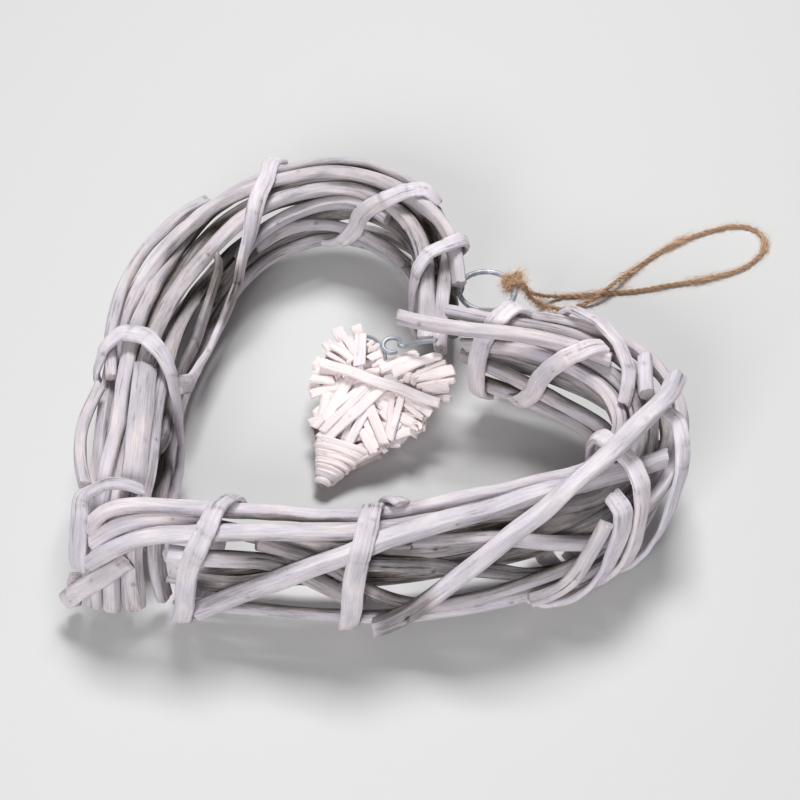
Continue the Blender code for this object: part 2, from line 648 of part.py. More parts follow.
def ring_points(count):
    """Points of the wire ring's centre line, level and evenly spaced."""
    angle = np.linspace(0.0, 2.0 * np.pi, count, endpoint=False)
    x = RING_AT[0] + RING_RADIUS * np.cos(angle)
    y = RING_AT[1] + RING_RADIUS * np.sin(angle)
    return np.stack([x, y, np.full(count, RING_AT[2])], axis=1)


class SmallHeart:
    """The small heart's own frame: x across, y from its tip to its notch, z out of its face."""

    def __init__(self):
        heading = np.radians(SMALL_HEADING)
        tilt = np.radians(SMALL_TILT)
        level = np.array([np.cos(heading), np.sin(heading), 0.0])
        self.y = level * np.cos(tilt) + np.array([0.0, 0.0, np.sin(tilt)])
        self.x = np.array([np.sin(heading), -np.cos(heading), 0.0])
        self.z = np.cross(self.x, self.y)
        self.origin = np.array(SMALL_TIP)

    def world(self, x, y, z):
        """Heart line frame point of a point in the small heart's frame."""
        return self.origin + x * self.x + y * self.y + z * self.z

    def outline(self):
        """Corner points of the outline: the tip, a flank, a lobe, the notch, and back."""
        lobe = SMALL_WIDE / 4.0
        centre = np.array([SMALL_WIDE / 2.0 - lobe, SMALL_LONG - lobe])
        turns = np.radians(np.linspace(LOBE_FROM, LOBE_TO, LOBE_COUNT))
        arc = [centre + lobe * np.array([np.cos(t), np.sin(t)]) for t in turns]
        flank = []
        for share in FLANK_SHARES:
            bulge = FLANK_BULGE * np.sin(np.pi * share)
            flank.append(arc[0] * share + np.array([bulge, -bulge * 0.6]))
        half = [(x, y) for x, y in flank + arc]
        return [(0.0, 0.0)] + half + [(0.0, SMALL_NOTCH)] + [(-x, y) for x, y in half[::-1]]


def small_heart(collection, cutters, material):
    """The small heart: a woven core, crossing strips on both faces and a wound tip."""
    frame = SmallHeart()
    faces = [[frame.world(x, y, height) for x, y in frame.outline()]
             for height in (-SMALL_CORE / 2.0, SMALL_CORE / 2.0)]
    core = mesh_object("small_heart", lofted(faces), collection, material)
    pieces = []
    for number, (one, two, layer) in enumerate(SMALL_STRIPS):
        rise = SMALL_CORE / 2.0 - STRIP_SINK + STRIP_THICK / 2.0
        rise += (abs(layer) - 1) * (STRIP_THICK - STRIP_SINK) + number % 7 * STRIP_STAGGER
        strip = small_strip(frame, one, two, rise if layer > 0 else -rise)
        pieces.append(mesh_object(f"small_strip_{number}", strip, cutters, material))
    pieces.append(mesh_object("small_winding", small_winding(frame), cutters, material))
    joined(core, pieces)
    return core


def small_strip(frame, one, two, height):
    """One straight strip of the small heart, between two places given as shares of its size."""
    a = np.array([one[0] * SMALL_WIDE / 2.0, one[1] * SMALL_LONG, height])
    b = np.array([two[0] * SMALL_WIDE / 2.0, two[1] * SMALL_LONG, height])
    way = (b - a) / np.linalg.norm(b - a)
    across = np.array([-way[1], way[0], 0.0]) * STRIP_WIDE / 2.0
    up = np.array([0.0, 0.0, STRIP_THICK / 2.0])
    rings = [[frame.world(*(end + across * x + up * z)) for x, z in ((-1, -1), (1, -1), (1, 1), (-1, 1))]
             for end in (a, b)]
    return lofted(rings)


def small_winding(frame):
    """The wound tip of the small heart: a flattened cone in steps."""
    angle = np.linspace(0.0, 2.0 * np.pi, WINDING_SIDES, endpoint=False)
    rings = []
    for y, half in WINDING_STEPS:
        deep = SMALL_CORE / 2.0 + WINDING_RISE * half
        rings.append([frame.world(half * np.cos(t), y, deep * np.sin(t)) for t in angle])
    return lofted(rings)


def wire_ring(collection, material):
    """The wire ring that is hooked through the cleft."""
    points = ring_points(RING_COUNT)
    return curve_object("hanging_ring", points, RING_WIRE, collection, material, closed=True)


def link_route():
    """Points of the wire link, with its eye turned round at the lower end."""
    frame = SmallHeart()
    over = frame.world(0.0, SMALL_NOTCH, 0.0) + LINK_OVER_NOTCH
    middle = (over + LINK_FROM) / 2.0 + np.array([0.0, 0.0, LINK_ARCH])
    run = smooth_route([LINK_FROM, middle, over], 5)
    centre = frame.world(0.0, SMALL_NOTCH + LINK_WIRE / 2.0 + LINK_EYE + PIECE_GAP, 0.0)
    start = np.arctan2(run[-1][1] - centre[1], run[-1][0] - centre[0])
    angle = start + np.radians(np.linspace(0.0, EYE_TURN, EYE_COUNT))
    lift = np.linspace(0.0, -LINK_WIRE * EYE_SINK, EYE_COUNT)
    x = centre[0] + LINK_EYE * np.cos(angle)
    y = centre[1] + LINK_EYE * np.sin(angle)
    return np.vstack([run, np.stack([x, y, run[-1][2] + lift], axis=1)])


def knot_centre():
    """Centre of the twine knot, on the wire of the ring, far from the cleft."""
    angle = np.radians(KNOT_TURN)
    return np.array(RING_AT) + RING_RADIUS * np.array([np.cos(angle), np.sin(angle), 0.0])


def twine_knot(collection, cutters, material):
    """The knot of the twine: an egg-shaped lump with a hole for the wire of the ring."""
    mesh = bmesh.new()
    bmesh.ops.create_uvsphere(mesh, u_segments=10, v_segments=6, radius=0.5)
    for vert in mesh.verts:
        size = np.array([KNOT_WIDE, KNOT_LONG, KNOT_WIDE])
        vert.co = Vector(metres(knot_centre() + np.array(vert.co) * size))
    knot = mesh_object("twine_knot", mesh, collection, material)
    bpy.ops.mesh.primitive_torus_add(
        location=tuple(metres(RING_AT)), major_segments=2 * RING_COUNT, minor_segments=8,
        major_radius=RING_RADIUS * MM, minor_radius=(RING_WIRE / 2.0 + PIECE_GAP) * MM)
    hole = bpy.context.object
    hole.name = "knot_hole"
    for other in list(hole.users_collection):
        other.objects.unlink(hole)
    cutters.objects.link(hole)
    hole.hide_render = True
    hole.display_type = "WIRE"
    cut = knot.modifiers.new("wire_hole", "BOOLEAN")
    cut.operation = "DIFFERENCE"
    cut.solver = "EXACT"
    cut.object = hole
    return knot


def fixed_wires():
    """The ring, the link and the knot as strands that the willow gives way to."""
    ring = ring_points(RING_COUNT)
    half = np.array([0.0, (KNOT_LONG - KNOT_WIDE) / 2.0, 0.0])
    knot = np.array([knot_centre() - half, knot_centre() + half])
    return [Strand("ring", np.vstack([ring, ring[:1]]), RING_WIRE, RING_WIRE, 0.0, 0.0),
            Strand("link", link_route(), LINK_WIRE, LINK_WIRE, 0.0, 0.0),
            Strand("knot", knot, KNOT_WIDE, KNOT_WIDE, 0.0, 0.0)]


def twine_route():
    """Points of the twine loop's centre line, never lower than the table lets it lie."""
    ends = knot_centre() + np.array([TWINE_OUT, TWINE_BACK])
    line = smooth_route([ends[0], *TWINE_ROUTE, ends[1]], 400)
    line = even_steps(line, TWINE_STEP * TWINE)
    line[:, 2] = np.maximum(line[:, 2], TWINE / 2.0)
    return line


def build():
    """Model the whole object."""
    clear_scene()
    parts = bpy.data.collections.new("wicker_heart_wreath")
    cutters = bpy.data.collections.new("cutters")
    for collection in (parts, cutters):
        bpy.context.scene.collection.children.link(collection)
    white_willow = finish("whitewashed_willow", (0.62, 0.60, 0.60), 0.75)
    small_willow = finish("small_heart_willow", (0.82, 0.77, 0.74), 0.8)
    grey_wire = finish("grey_wire", (0.42, 0.47, 0.52), 0.45, 0.3)
    jute = finish("jute_twine", (0.42, 0.25, 0.12), 0.95)
    strands = willow()
    lay_clear(strands + fixed_wires())
    for strand in strands:
        if strand.flat():
            strip_object(strand, parts, white_willow)
        else:
            curve_object(strand.name, thinned(strand.points), strand.wide, parts, white_willow, sides=1)
    small_heart(parts, cutters, small_willow)
    wire_ring(parts, grey_wire)
    curve_object("small_heart_link", link_route(), LINK_WIRE, parts, grey_wire)
    twine_knot(parts, cutters, jute)
    curve_object("twine_loop", twine_route(), TWINE, parts, jute)


build()
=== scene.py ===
"""Dressed model of a wicker heart wreath that lies on a pale floor.

The wreath is two bundles of whitewashed willow rods, bound with split strips.  A small wicker
heart lies in its middle on a wire link, and a wire ring at the cleft carries a loop of jute.
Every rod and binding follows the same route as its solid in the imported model, and gets its
real section, grain, knots, creases and cut ends here.

Shapes are worked out in millimetres in the heart line's own frame and turned into metres about
the wreath's middle when a mesh is made.
"""
import logging
import math
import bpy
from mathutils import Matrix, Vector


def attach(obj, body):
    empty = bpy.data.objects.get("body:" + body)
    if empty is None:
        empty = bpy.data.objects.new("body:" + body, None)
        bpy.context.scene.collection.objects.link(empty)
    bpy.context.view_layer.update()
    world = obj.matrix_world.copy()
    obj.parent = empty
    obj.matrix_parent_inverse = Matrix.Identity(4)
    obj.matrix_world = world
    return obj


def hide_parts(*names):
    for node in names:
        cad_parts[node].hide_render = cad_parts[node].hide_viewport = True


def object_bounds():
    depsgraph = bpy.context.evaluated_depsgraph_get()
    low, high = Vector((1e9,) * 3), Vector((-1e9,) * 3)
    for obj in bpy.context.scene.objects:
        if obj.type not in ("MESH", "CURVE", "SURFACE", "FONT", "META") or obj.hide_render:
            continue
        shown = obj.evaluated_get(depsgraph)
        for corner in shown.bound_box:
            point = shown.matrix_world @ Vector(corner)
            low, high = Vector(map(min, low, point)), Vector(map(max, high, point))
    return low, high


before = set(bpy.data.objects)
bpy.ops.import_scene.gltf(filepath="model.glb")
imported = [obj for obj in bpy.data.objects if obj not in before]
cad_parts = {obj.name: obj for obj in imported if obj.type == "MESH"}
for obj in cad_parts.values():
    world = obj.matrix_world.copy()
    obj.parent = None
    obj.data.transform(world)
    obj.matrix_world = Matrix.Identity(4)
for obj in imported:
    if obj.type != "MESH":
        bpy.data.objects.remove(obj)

import zlib
from dataclasses import dataclass, field
from enum import Enum

import bpy
import numpy as np
from mathutils import Vector

# Short names of the types that are used most
Rows = np.ndarray
Draws = np.random.Generator
Socket = bpy.types.NodeSocket
Tree = bpy.types.NodeTree
Material = bpy.types.Material
Thing = bpy.types.Object

LOG = logging.getLogger("wicker_heart")
CAD_BOX = [[float(x) for x in corner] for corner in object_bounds()]

MM = 0.001
TAU = 2.0 * math.pi
UP = np.array([0.0, 0.0, 1.0])
HEART_AT = (-3.3, 16.6, 0.0)
LINE_POINTS = 1200
ROUTE_POINTS = 400


class Side(Enum):
    """The two bundles of the heart, with the sign of their side along X."""

    RIGHT = 1
    LEFT = -1


class Make(Enum):
    """How a length of willow was made."""

    ROUND = "round rod"
    SPLIT = "half-round split rod"
    SKEIN = "flat shaved strip"


def metres(points: Rows) -> Rows:
    """Points in heart line millimetres, turned into metres about the wreath's middle."""
    return (np.asarray(points, float) + HEART_AT) * MM


def unit(rows: Rows) -> Rows:
    """Scale each row to length one."""
    return rows / np.maximum(np.linalg.norm(rows, axis=-1, keepdims=True), 1e-12)


def headings(line: Rows) -> Rows:
    """Direction along a line at each of its points."""
    return unit(np.gradient(line, axis=0))


def all_round(count: int) -> Rows:
    """Evenly spaced angles of a full turn, from 0 on."""
    return np.linspace(0.0, TAU, count, endpoint=False)


def run_along(line: Rows) -> Rows:
    """Distance from the start of a line to each of its points."""
    return np.concatenate([[0.0], np.cumsum(np.linalg.norm(np.diff(line, axis=0), axis=1))])


def smooth_route(points: Rows, count: int) -> Rows:
    """Natural cubic curve through the route points.

    On each span the curve is a cubic whose second derivative runs straight from one point's
    bend to the next point's, and the bends solve one small linear system.

    Args:
        points: route points.
        count: how many even places to read the curve at.

    Returns:
        The curve's points.
    """
    pts = np.array(points, float)
    if len(pts) == 2:
        return pts[0] + np.linspace(0.0, 1.0, count)[:, None] * (pts[1] - pts[0])
    run = run_along(pts)
    gap = np.diff(run)
    n = len(pts)
    system = np.eye(n)
    right = np.zeros((n, pts.shape[1]))
    for i in range(1, n - 1):
        system[i, i - 1] = gap[i - 1]
        system[i, i] = 2.0 * (gap[i - 1] + gap[i])
        system[i, i + 1] = gap[i]
        slope_on = (pts[i + 1] - pts[i]) / gap[i]
        slope_in = (pts[i] - pts[i - 1]) / gap[i - 1]
        right[i] = 6.0 * (slope_on - slope_in)
    bend = np.linalg.solve(system, right)
    at = np.linspace(0.0, run[-1], count)
    k = np.clip(np.searchsorted(run, at, side="right") - 1, 0, n - 2)
    h = gap[k][:, None]
    a = (run[k + 1] - at)[:, None]
    b = (at - run[k])[:, None]
    value = bend[k] * a ** 3 / (6.0 * h) + bend[k + 1] * b ** 3 / (6.0 * h)
    value += (pts[k] / h - bend[k] * h / 6.0) * a
    value += (pts[k + 1] / h - bend[k + 1] * h / 6.0) * b
    return value


def even_count(line: Rows, count: int) -> Rows:
    """The same line with this many points, evenly spaced.

    Args:
        line: its points.
        count: how many points it gets.

    Returns:
        The points.
    """
    run = run_along(line)
    at = np.linspace(0.0, run[-1], count)
    return np.stack([np.interp(at, run, line[:, k]) for k in range(line.shape[1])], axis=1)


def even_steps(line: Rows, step: float) -> Rows:
    """The same line with its points an even step apart."""
    return even_count(line, max(2, int(round(run_along(line)[-1] / step)) + 1))


def powered(value: Rows, power: float) -> Rows:
    """A value raised to a power, with its sign kept."""
    return np.sign(value) * np.abs(value) ** power


def spun(turn: Rows, one: Rows, two: Rows) -> Rows:
    """Directions at these angles from the first of two directions towards the second."""
    return np.cos(turn)[:, None] * one + np.sin(turn)[:, None] * two


def evened(rows: Rows, reach: int) -> Rows:
    """Average each row with `reach` rows on either side, holding the ends.

    Args:
        rows: one row for each place.
        reach: rows that count on either side.

    Returns:
        The averaged rows.
    """
    padded = np.concatenate([np.repeat(rows[:1], reach, 0), rows, np.repeat(rows[-1:], reach, 0)])
    total = np.cumsum(np.concatenate([np.zeros_like(padded[:1]), padded]), axis=0)
    width = 2 * reach + 1
    return (total[width:] - total[:-width]) / width


@dataclass
class HeartLine:
    """Centre line of one bundle, with its stations, outward directions and straight ends."""

    side: Side
    tip: tuple = (0.0, -111.5)
    cleft: tuple = (-2.0, 52.5)
    leg: tuple = ((28.0, -83.0), (72.0, -38.0), (95.0, 0.5), (106.0, 33.0))
    right_lobe: tuple = ((86.0, 77.5), (44.5, 76.0))
    left_lobe: tuple = ((88.0, 83.5), (42.5, 86.0))
    run_on: int = 60

    def __post_init__(self) -> None:
        """Work out the line, its stations and its outward directions."""
        sign = self.side.value
        half = self.leg + (self.right_lobe if self.side is Side.RIGHT else self.left_lobe)
        route = [self.tip] + [(sign * x, y) for x, y in half] + [self.cleft]
        line = smooth_route(route, LINE_POINTS)
        run = run_along(line)
        way = headings(line)
        on = np.arange(1.0, self.run_on + 1.0)
        before = line[0] - on[::-1, None] * way[0]
        after = line[-1] + on[:, None] * way[-1]
        self.length = run[-1]
        self.run = np.concatenate([-on[::-1], run, run[-1] + on])
        self.line = np.vstack([before, line, after])
        ways = np.vstack([np.repeat(way[:1], self.run_on, 0), way,
                          np.repeat(way[-1:], self.run_on, 0)])
        self.out = np.stack([ways[:, 1], -ways[:, 0]], axis=1) * sign

    def nearest(self, points: Rows) -> tuple[Rows, Rows]:
        """Find the line's nearest point to each of these points, seen from above.

        Args:
            points: any points, in millimetres.

        Returns:
            Which of the line's points it is, and how far away.
        """
        gap = np.linalg.norm(points[:, None, :2] - self.line[None, :, :], axis=2)
        k = np.argmin(gap, axis=1)
        return k, gap[np.arange(len(points)), k]

    def place(self, station: Rows, outward: Rows, height: Rows) -> Rows:
        """Points from stations, outward offsets and heights.

        Args:
            station: millimetres along the line from the tip.
            outward: millimetres away from the heart's middle.
            height: millimetres above the table.

        Returns:
            The points.
        """
        x = np.interp(station, self.run, self.line[:, 0])
        y = np.interp(station, self.run, self.line[:, 1])
        nx = np.interp(station, self.run, self.out[:, 0])
        ny = np.interp(station, self.run, self.out[:, 1])
        return np.stack([x + nx * outward, y + ny * outward, height], axis=1)


@dataclass
class BundleSection:
    """Half width, underside and top of the rods of a bundle at a few shares of its length."""

    share: tuple = (0.0, 0.3, 0.5, 0.68, 0.85, 1.0)
    half: tuple = (14.0, 14.5, 14.5, 13.5, 11.5, 10.5)
    under: dict = field(default_factory=lambda: {
        Side.RIGHT: (4.9, 4.9, 6.5, 7.5, 7.0, 8.0), Side.LEFT: (4.9, 4.9, 6.0, 9.5, 9.0, 8.5)})
    over: dict = field(default_factory=lambda: {
        Side.RIGHT: (54.0, 56.5, 55.5, 54.0, 54.0, 54.0),
        Side.LEFT: (53.5, 56.0, 54.5, 52.0, 53.0, 53.0)})


LINES = {side: HeartLine(side) for side in (Side.RIGHT, Side.LEFT)}
SECTION = BundleSection()

BINDING_WIDE = 7.0
BINDING_THICK = 4.2
BINDING_GIVE = 0.2
BINDING_POWER = 0.62
BINDING_SAG = 0.3
FLAT_FROM = 1.1
ROD_REST = 1.0
NEIGHBOUR_GAP = 0.75
ROD_STEP = 14.0
BINDING_STEP = 10.0
FEEL_STEP = 2.5
CORE_LOW = 22.0
CORE_HIGH = 40.0
# Rounded box of a bundle's section, whose depth sets the painted shade inside the bundles
BUNDLE_HALF = 15.5
BUNDLE_MIDDLE = 30.0
BUNDLE_HIGH = 29.0
BUNDLE_POWER = 2.6

# How far from the tip and from the cleft a bundle's core starts, and where it is whole; the
# painted shade inside a bundle fades out towards both
CORE_FROM_TIP = (16.0, 42.0)
CORE_FROM_CLEFT = (5.0, 20.0)

# How the strands make room: rounds in all and until the shifts are no longer evened out, how
# often the near pairs are looked for and how far round, the least load that a point's push is
# shared by, and how much a shift is evened out
ROUNDS = 260
EVEN_UNTIL = 200
LOOK_EVERY = 10
LOOK_SLACK = 4.0
LEAST_LOAD = 0.35
ROUND_EASE = 0.16


def bundle_middle(points: Rows, tip_inset: float = -math.inf) -> Rows:
    """For each point, the place inside the nearer bundle that a strip there faces away from.

    Args:
        points: any points, in millimetres.
        tip_inset: lowest station that the place may have.

    Returns:
        One place for each point.
    """
    middle = np.zeros_like(points)
    best = np.full(len(points), np.inf)
    for heart in LINES.values():
        k, near = heart.nearest(points)
        closer = near < best
        inner = np.maximum(k, np.searchsorted(heart.run, tip_inset))
        middle[closer, :2] = heart.line[inner[closer]]
        best = np.minimum(best, near)
    middle[:, 2] = np.clip(points[:, 2], CORE_LOW, CORE_HIGH)
    return middle


def strip_side(points: Rows, tip_inset: float = -math.inf) -> Rows:
    """Direction of a strip's wide side at every point: level with the bundle's surface.

    Args:
        points: points of the strip's line.
        tip_inset: lowest station of the middle that it faces away from.

    Returns:
        One direction for each point.
    """
    way = headings(points)
    face = points - bundle_middle(points, tip_inset)
    face -= (face * way).sum(axis=1)[:, None] * way
    return np.cross(way, unit(face))


@dataclass
class Strand:
    """One rod, strip or binding: its route, its section and how readily it gives way."""

    name: str
    points: Rows
    wide: float
    thick: float
    give: float
    lowest: float
    make: Make = Make.ROUND
    wraps: bool = False

    def __post_init__(self) -> None:
        """Keep the route the strand starts from."""
        self.points = np.array(self.points, float)
        self.start = self.points.copy()

    def flat(self) -> bool:
        """Whether it is a flat strip."""
        return self.wide > FLAT_FROM * self.thick


def rod(name: str, side: Side, wide: float, route: list, make: Make = Make.ROUND,
        thick: float = 0.0, give: float = 1.0) -> Strand:
    """A willow rod through route points.

    Args:
        name: node that it stands for.
        side: bundle that it belongs to.
        wide: width across.
        route: (station, outward, height) of each route point.
        make: how this length of willow was made.
        thick: thickness, or 0 where it is as thick as it is wide.
        give: how readily it moves aside for the others.

    Returns:
        The rod, before it has made room for its neighbours.
    """
    pts = smooth_route(route, ROUTE_POINTS)
    line = even_steps(LINES[side].place(pts[:, 0], pts[:, 1], pts[:, 2]), ROD_STEP)
    thick = thick or wide
    return Strand(name, line, wide, thick, give, thick / 2.0 + ROD_REST, make)


def binding(name: str, side: Side, wide: float, turns: list, lift: float = 0.0) -> Strand:
    """A binding wound round a bundle.

    The section that it follows is a rounded box: outward is the half width times the cosine
    raised to a power, and height is the half height times the sine raised to the same one.

    Args:
        name: node that it stands for.
        side: bundle that it is wound round.
        wide: width of the strip.
        turns: (angle, station) pairs; angle 0 is outward and 90 is up.
        lift: how much further out than its neighbours it lies.

    Returns:
        The binding, before it has made room for its neighbours.
    """
    pts = smooth_route(turns, ROUTE_POINTS)
    heart = LINES[side]
    share = np.clip(pts[:, 1] / heart.length, 0.0, 1.0)
    half = np.interp(share, SECTION.share, SECTION.half) + BINDING_THICK / 2.0 + lift
    low = np.interp(share, SECTION.share, SECTION.under[side]) - BINDING_THICK / 2.0
    high = np.interp(share, SECTION.share, SECTION.over[side]) + BINDING_THICK / 2.0 + lift
    low = np.maximum(low - BINDING_SAG, BINDING_THICK / 2.0)
    angle = np.radians(pts[:, 0])
    outward = half * powered(np.cos(angle), BINDING_POWER)
    height = (high + low) / 2.0 + (high - low) / 2.0 * powered(np.sin(angle), BINDING_POWER)
    line = even_steps(heart.place(pts[:, 1], outward, height), BINDING_STEP)
    return Strand(name, line, wide, BINDING_THICK, BINDING_GIVE, BINDING_THICK / 2.0, Make.SKEIN,
                  wraps=True)


# The tables below give each strand's name, width and route, and then a rod's make, thickness
# and give, or a binding's lift.  Rods have (station, outward, height) for each route point,
# and bindings that are wound have (angle, station).
# Rods of the right bundle, from the rails that overrun the tip to the one across the cleft
RIGHT_RODS = (
    ("right_inner_top_rail", 5.6, [(-8, -5, 44), (-2, -6, 53), (8, -7.4, 56), (25, -8, 55.5),
     (49, -10.2, 53), (90, -10.8, 52.5), (112, -12.2, 52.5), (130, -13, 52.5), (146, -12.8, 52),
     (164, -12, 51.5), (179, -10.5, 50.5), (192, -9, 49), (245, -10.5, 48), (290, -9, 45),
     (316, -8, 38)]),
    ("right_second_rail", 5.2, [(-9, -1.5, 41), (-2, -2.5, 47), (9, -4, 50.5), (20, -4.5, 50.5),
     (34, -5, 47), (60, -2, 43), (120, 3, 40), (180, 3, 38), (240, 2, 39),
     (296, 0, 41)], Make.SPLIT),
    ("right_third_rail", 6.6, [(-10, 3, 35), (-3, 4, 42), (8, 3.6, 49), (26, 2.5, 51), (60, 1, 52),
     (100, -3, 50), (150, -5, 46), (190, 1, 46), (225, -4, 49), (266, -3, 49),
     (296, -2, 46)], Make.SPLIT),
    ("right_rising_rod", 6.8, [(27, 12, 11), (51, 11.5, 28), (78, 10, 45), (104, 4, 52),
     (135, -1, 52), (165, -2, 52), (187, 3, 51), (207, 15, 47)]),
    ("right_crossing_rod", 7.4, [(90, 12, 9), (101, 12, 15.5), (112, 12, 26), (127, 11.5, 41),
     (139, 9.5, 49), (155, 5.8, 55), (169, 0.4, 58), (184, -1.5, 59.5), (199, -1, 60),
     (212, 2.2, 59.5), (229, 9.5, 57)], Make.ROUND, 0.0, 0.6),
    ("right_falling_rod", 6.2, [(19, 9, 47), (40, 9, 44), (60, 5, 37), (78, 7, 27), (90, 9, 19)]),
    ("right_falling_strip", 5.0, [(52, 4, 46), (66, 6, 44), (82, 8, 37), (95, 10, 27),
     (108, 10, 18), (128, 9, 15), (152, 9, 19), (190, 8, 25), (228, 8, 27)], Make.SPLIT),
    ("right_bottom_rod", 4.8, [(18, 9, 8.5), (60, 10, 8.5), (110, 11, 9), (160, 11, 10),
     (190, 10, 12), (230, 10, 15), (270, 9, 15), (304, 7, 16)], Make.SPLIT),
    ("right_far_falling_rod", 4.8, [(88, 6, 47), (112, 5, 41), (135, 5, 29), (160, 6, 17),
     (182, 5, 12)], Make.SPLIT),
    ("right_face_rod", 5.8, [(108, 2, 42), (135, 5, 42), (157, 9, 37), (182, 10, 24)]),
    ("right_lobe_rod", 5.8, [(132, 0, 38), (160, 3, 32), (190, 6, 37), (220, 7, 36), (260, 6, 33),
     (300, 4, 32)], Make.SPLIT),
    ("right_lobe_slant", 5.2, [(150, 6, 10), (162, 9, 18), (170, 10, 34),
     (177, 8, 46)], Make.SPLIT),
    ("right_core_rod", 5.8, [(18, 4, 24), (40, 5, 20), (70, 2, 24), (105, 2, 25), (150, 1, 25),
     (200, 2, 25), (255, 1, 24), (308, 1, 24)]),
    ("right_inner_middle_rod", 5.8, [(17, -9, 32), (60, -10, 34), (110, -10, 32), (160, -9, 34),
     (205, -9, 37), (235, -9, 29), (262, -9, 25), (290, -8, 29), (314, -7, 33)]),
    ("right_inner_bottom_rod", 5.8, [(18, -8, 9), (80, -10, 9), (150, -10, 10), (200, -9, 12),
     (250, -9, 13), (285, -8, 15), (308, -7, 17)]),
    ("right_inner_slant", 5.0, [(24, -4, 12), (60, -7, 19), (110, -9, 22), (170, -6, 20),
     (215, -9, 24), (250, -9, 36), (285, -8, 37), (308, -6, 34)]),
    ("right_lobe_top_rod", 5.6, [(184, 10, 36), (212, 11, 44), (240, 10, 49), (266, 10, 50),
     (286, 8, 49), (302, 5, 48), (316, 3, 46)]),
    ("right_lobe_top_strip", 5.2, [(196, 9, 29), (222, 4, 42), (244, 4, 47), (275, 2, 48),
     (300, -4, 50), (324, -5, 50)], Make.SPLIT),
    ("right_stub_rod", 5.8, [(227, -1, 54), (244, 7, 55)]),
    ("cleft_crossing_rod", 5.4, [(341, -12, 55), (322, -12, 54.5), (300, -9, 55), (275, -3, 54),
     (252, 2, 53)], Make.SPLIT, 0.0, 0.6),
)

# Rods and strips of the left bundle, from those that slope down over the tip
LEFT_RODS = (
    ("left_first_rod", 6.0, [(-6.5, 10.3, 8.5), (-2, 9.6, 24), (7, 8.5, 38), (22, 7, 47),
     (60, 7, 51), (110, 8, 50), (150, 10, 47), (200, 10, 46), (250, 9, 47), (290, 5, 48),
     (330, 1, 46), (352, 2, 39)], Make.SPLIT),
    ("left_second_rod", 6.0, [(-6.5, 4.1, 8.5), (-2, 3.5, 24), (7, 2.5, 38), (24, 1, 47),
     (60, -1, 51), (110, -3, 51), (160, -8, 49), (205, -10, 46), (250, -9, 44), (290, -8, 45),
     (326, -6, 45), (350, -4, 38)], Make.SPLIT),
    ("left_inner_edge_rod", 5.4, [(-6, -8.3, 8.5), (-1.5, -8.3, 24), (7, -9, 37), (24, -11, 45),
     (60, -11, 47), (100, -11, 44), (130, -8, 37), (160, -6, 31)], Make.SPLIT),
    ("left_tip_rod", 5.8, [(-6.5, -2.1, 8.5), (-2, -2.6, 23), (7, -3.5, 34), (26, -4, 41),
     (70, 3, 43), (120, 3, 45), (165, 5, 41), (210, 4, 39), (262, 4, 39),
     (318, 3, 38)], Make.SPLIT),
    ("left_inner_stub", 6.4, [(-5, -14.8, 8.5), (-2, -13.6, 20), (1.5, -13, 31),
     (4, -13.5, 38)], Make.SPLIT),
    ("left_outer_stub", 5.6, [(-6.5, 16.8, 8.5), (-5.5, 15.8, 15), (-4, 15, 23)], Make.SPLIT),
    ("left_top_strip", 9.0, [(17, -6, 49), (36, -6, 53), (60, -5, 54),
     (80, -4, 52)], Make.SKEIN, 3.6),
    ("left_outer_top_rod", 5.6, [(14, 11, 37), (40, 11, 42), (80, 12, 45), (120, 11, 49),
     (165, 4, 52), (205, -3, 52), (240, -5, 51), (275, -2, 51), (300, 3, 50),
     (324, 6, 45)], Make.SPLIT),
    ("left_inner_strip", 8.0, [(50, -12, 32), (85, -11.5, 29), (119, -11.5, 25), (138, -12, 35),
     (153, -12, 46)], Make.SKEIN, 3.8),
    ("left_inner_bottom_rod", 5.8, [(17, -9, 13), (70, -10, 10), (120, -10, 11), (160, -9, 15),
     (203, -9, 17), (240, -8, 16), (276, -7, 16), (312, -6, 17)], Make.SPLIT),
    ("left_lobe_inner_rod", 5.6, [(164, -11, 32), (186, -12, 36), (215, -12, 38), (245, -11, 40),
     (268, -10, 40)], Make.SPLIT),
    ("left_lobe_low_rod", 5.6, [(142, -7, 19), (187, -9, 19), (215, -9, 21), (250, -8, 27),
     (290, -7, 31), (322, -5, 33)], Make.SPLIT),
    ("left_lobe_falling_rod", 5.0, [(178, -11, 29), (210, -11.5, 28), (245, -11, 21),
     (282, -8, 19)]),
    ("left_outer_middle_rod", 5.8, [(20, 11, 25), (80, 12, 27), (140, 11, 29), (200, 10, 30),
     (260, 9, 31), (312, 8, 30)], Make.SPLIT),
    ("left_outer_bottom_rod", 5.8, [(19, 9, 8.5), (80, 10, 8.5), (150, 10, 7), (195, 9, 4),
     (230, 9, 4), (265, 8, 8), (300, 7, 13), (322, 6, 15)]),
    ("left_core_rod", 5.6, [(17, 2, 20), (70, 0, 19), (140, 0, 22), (200, 0, 22), (260, 1, 23),
     (316, 0, 23)]),
    ("left_rising_core_rod", 5.4, [(40, 4, 11), (80, 5, 19), (130, 4, 32), (170, 4, 33),
     (225, 3, 31), (300, 2, 30)]),
    ("left_outer_bow", 4.6, [(70, 10, 48), (100, 14.5, 50), (130, 15, 51), (158, 11, 50),
     (176, 8.5, 46)]),
    ("left_side_bow", 4.6, [(19, 11, 47), (42, 16.5, 49), (68, 12, 50)]),
)

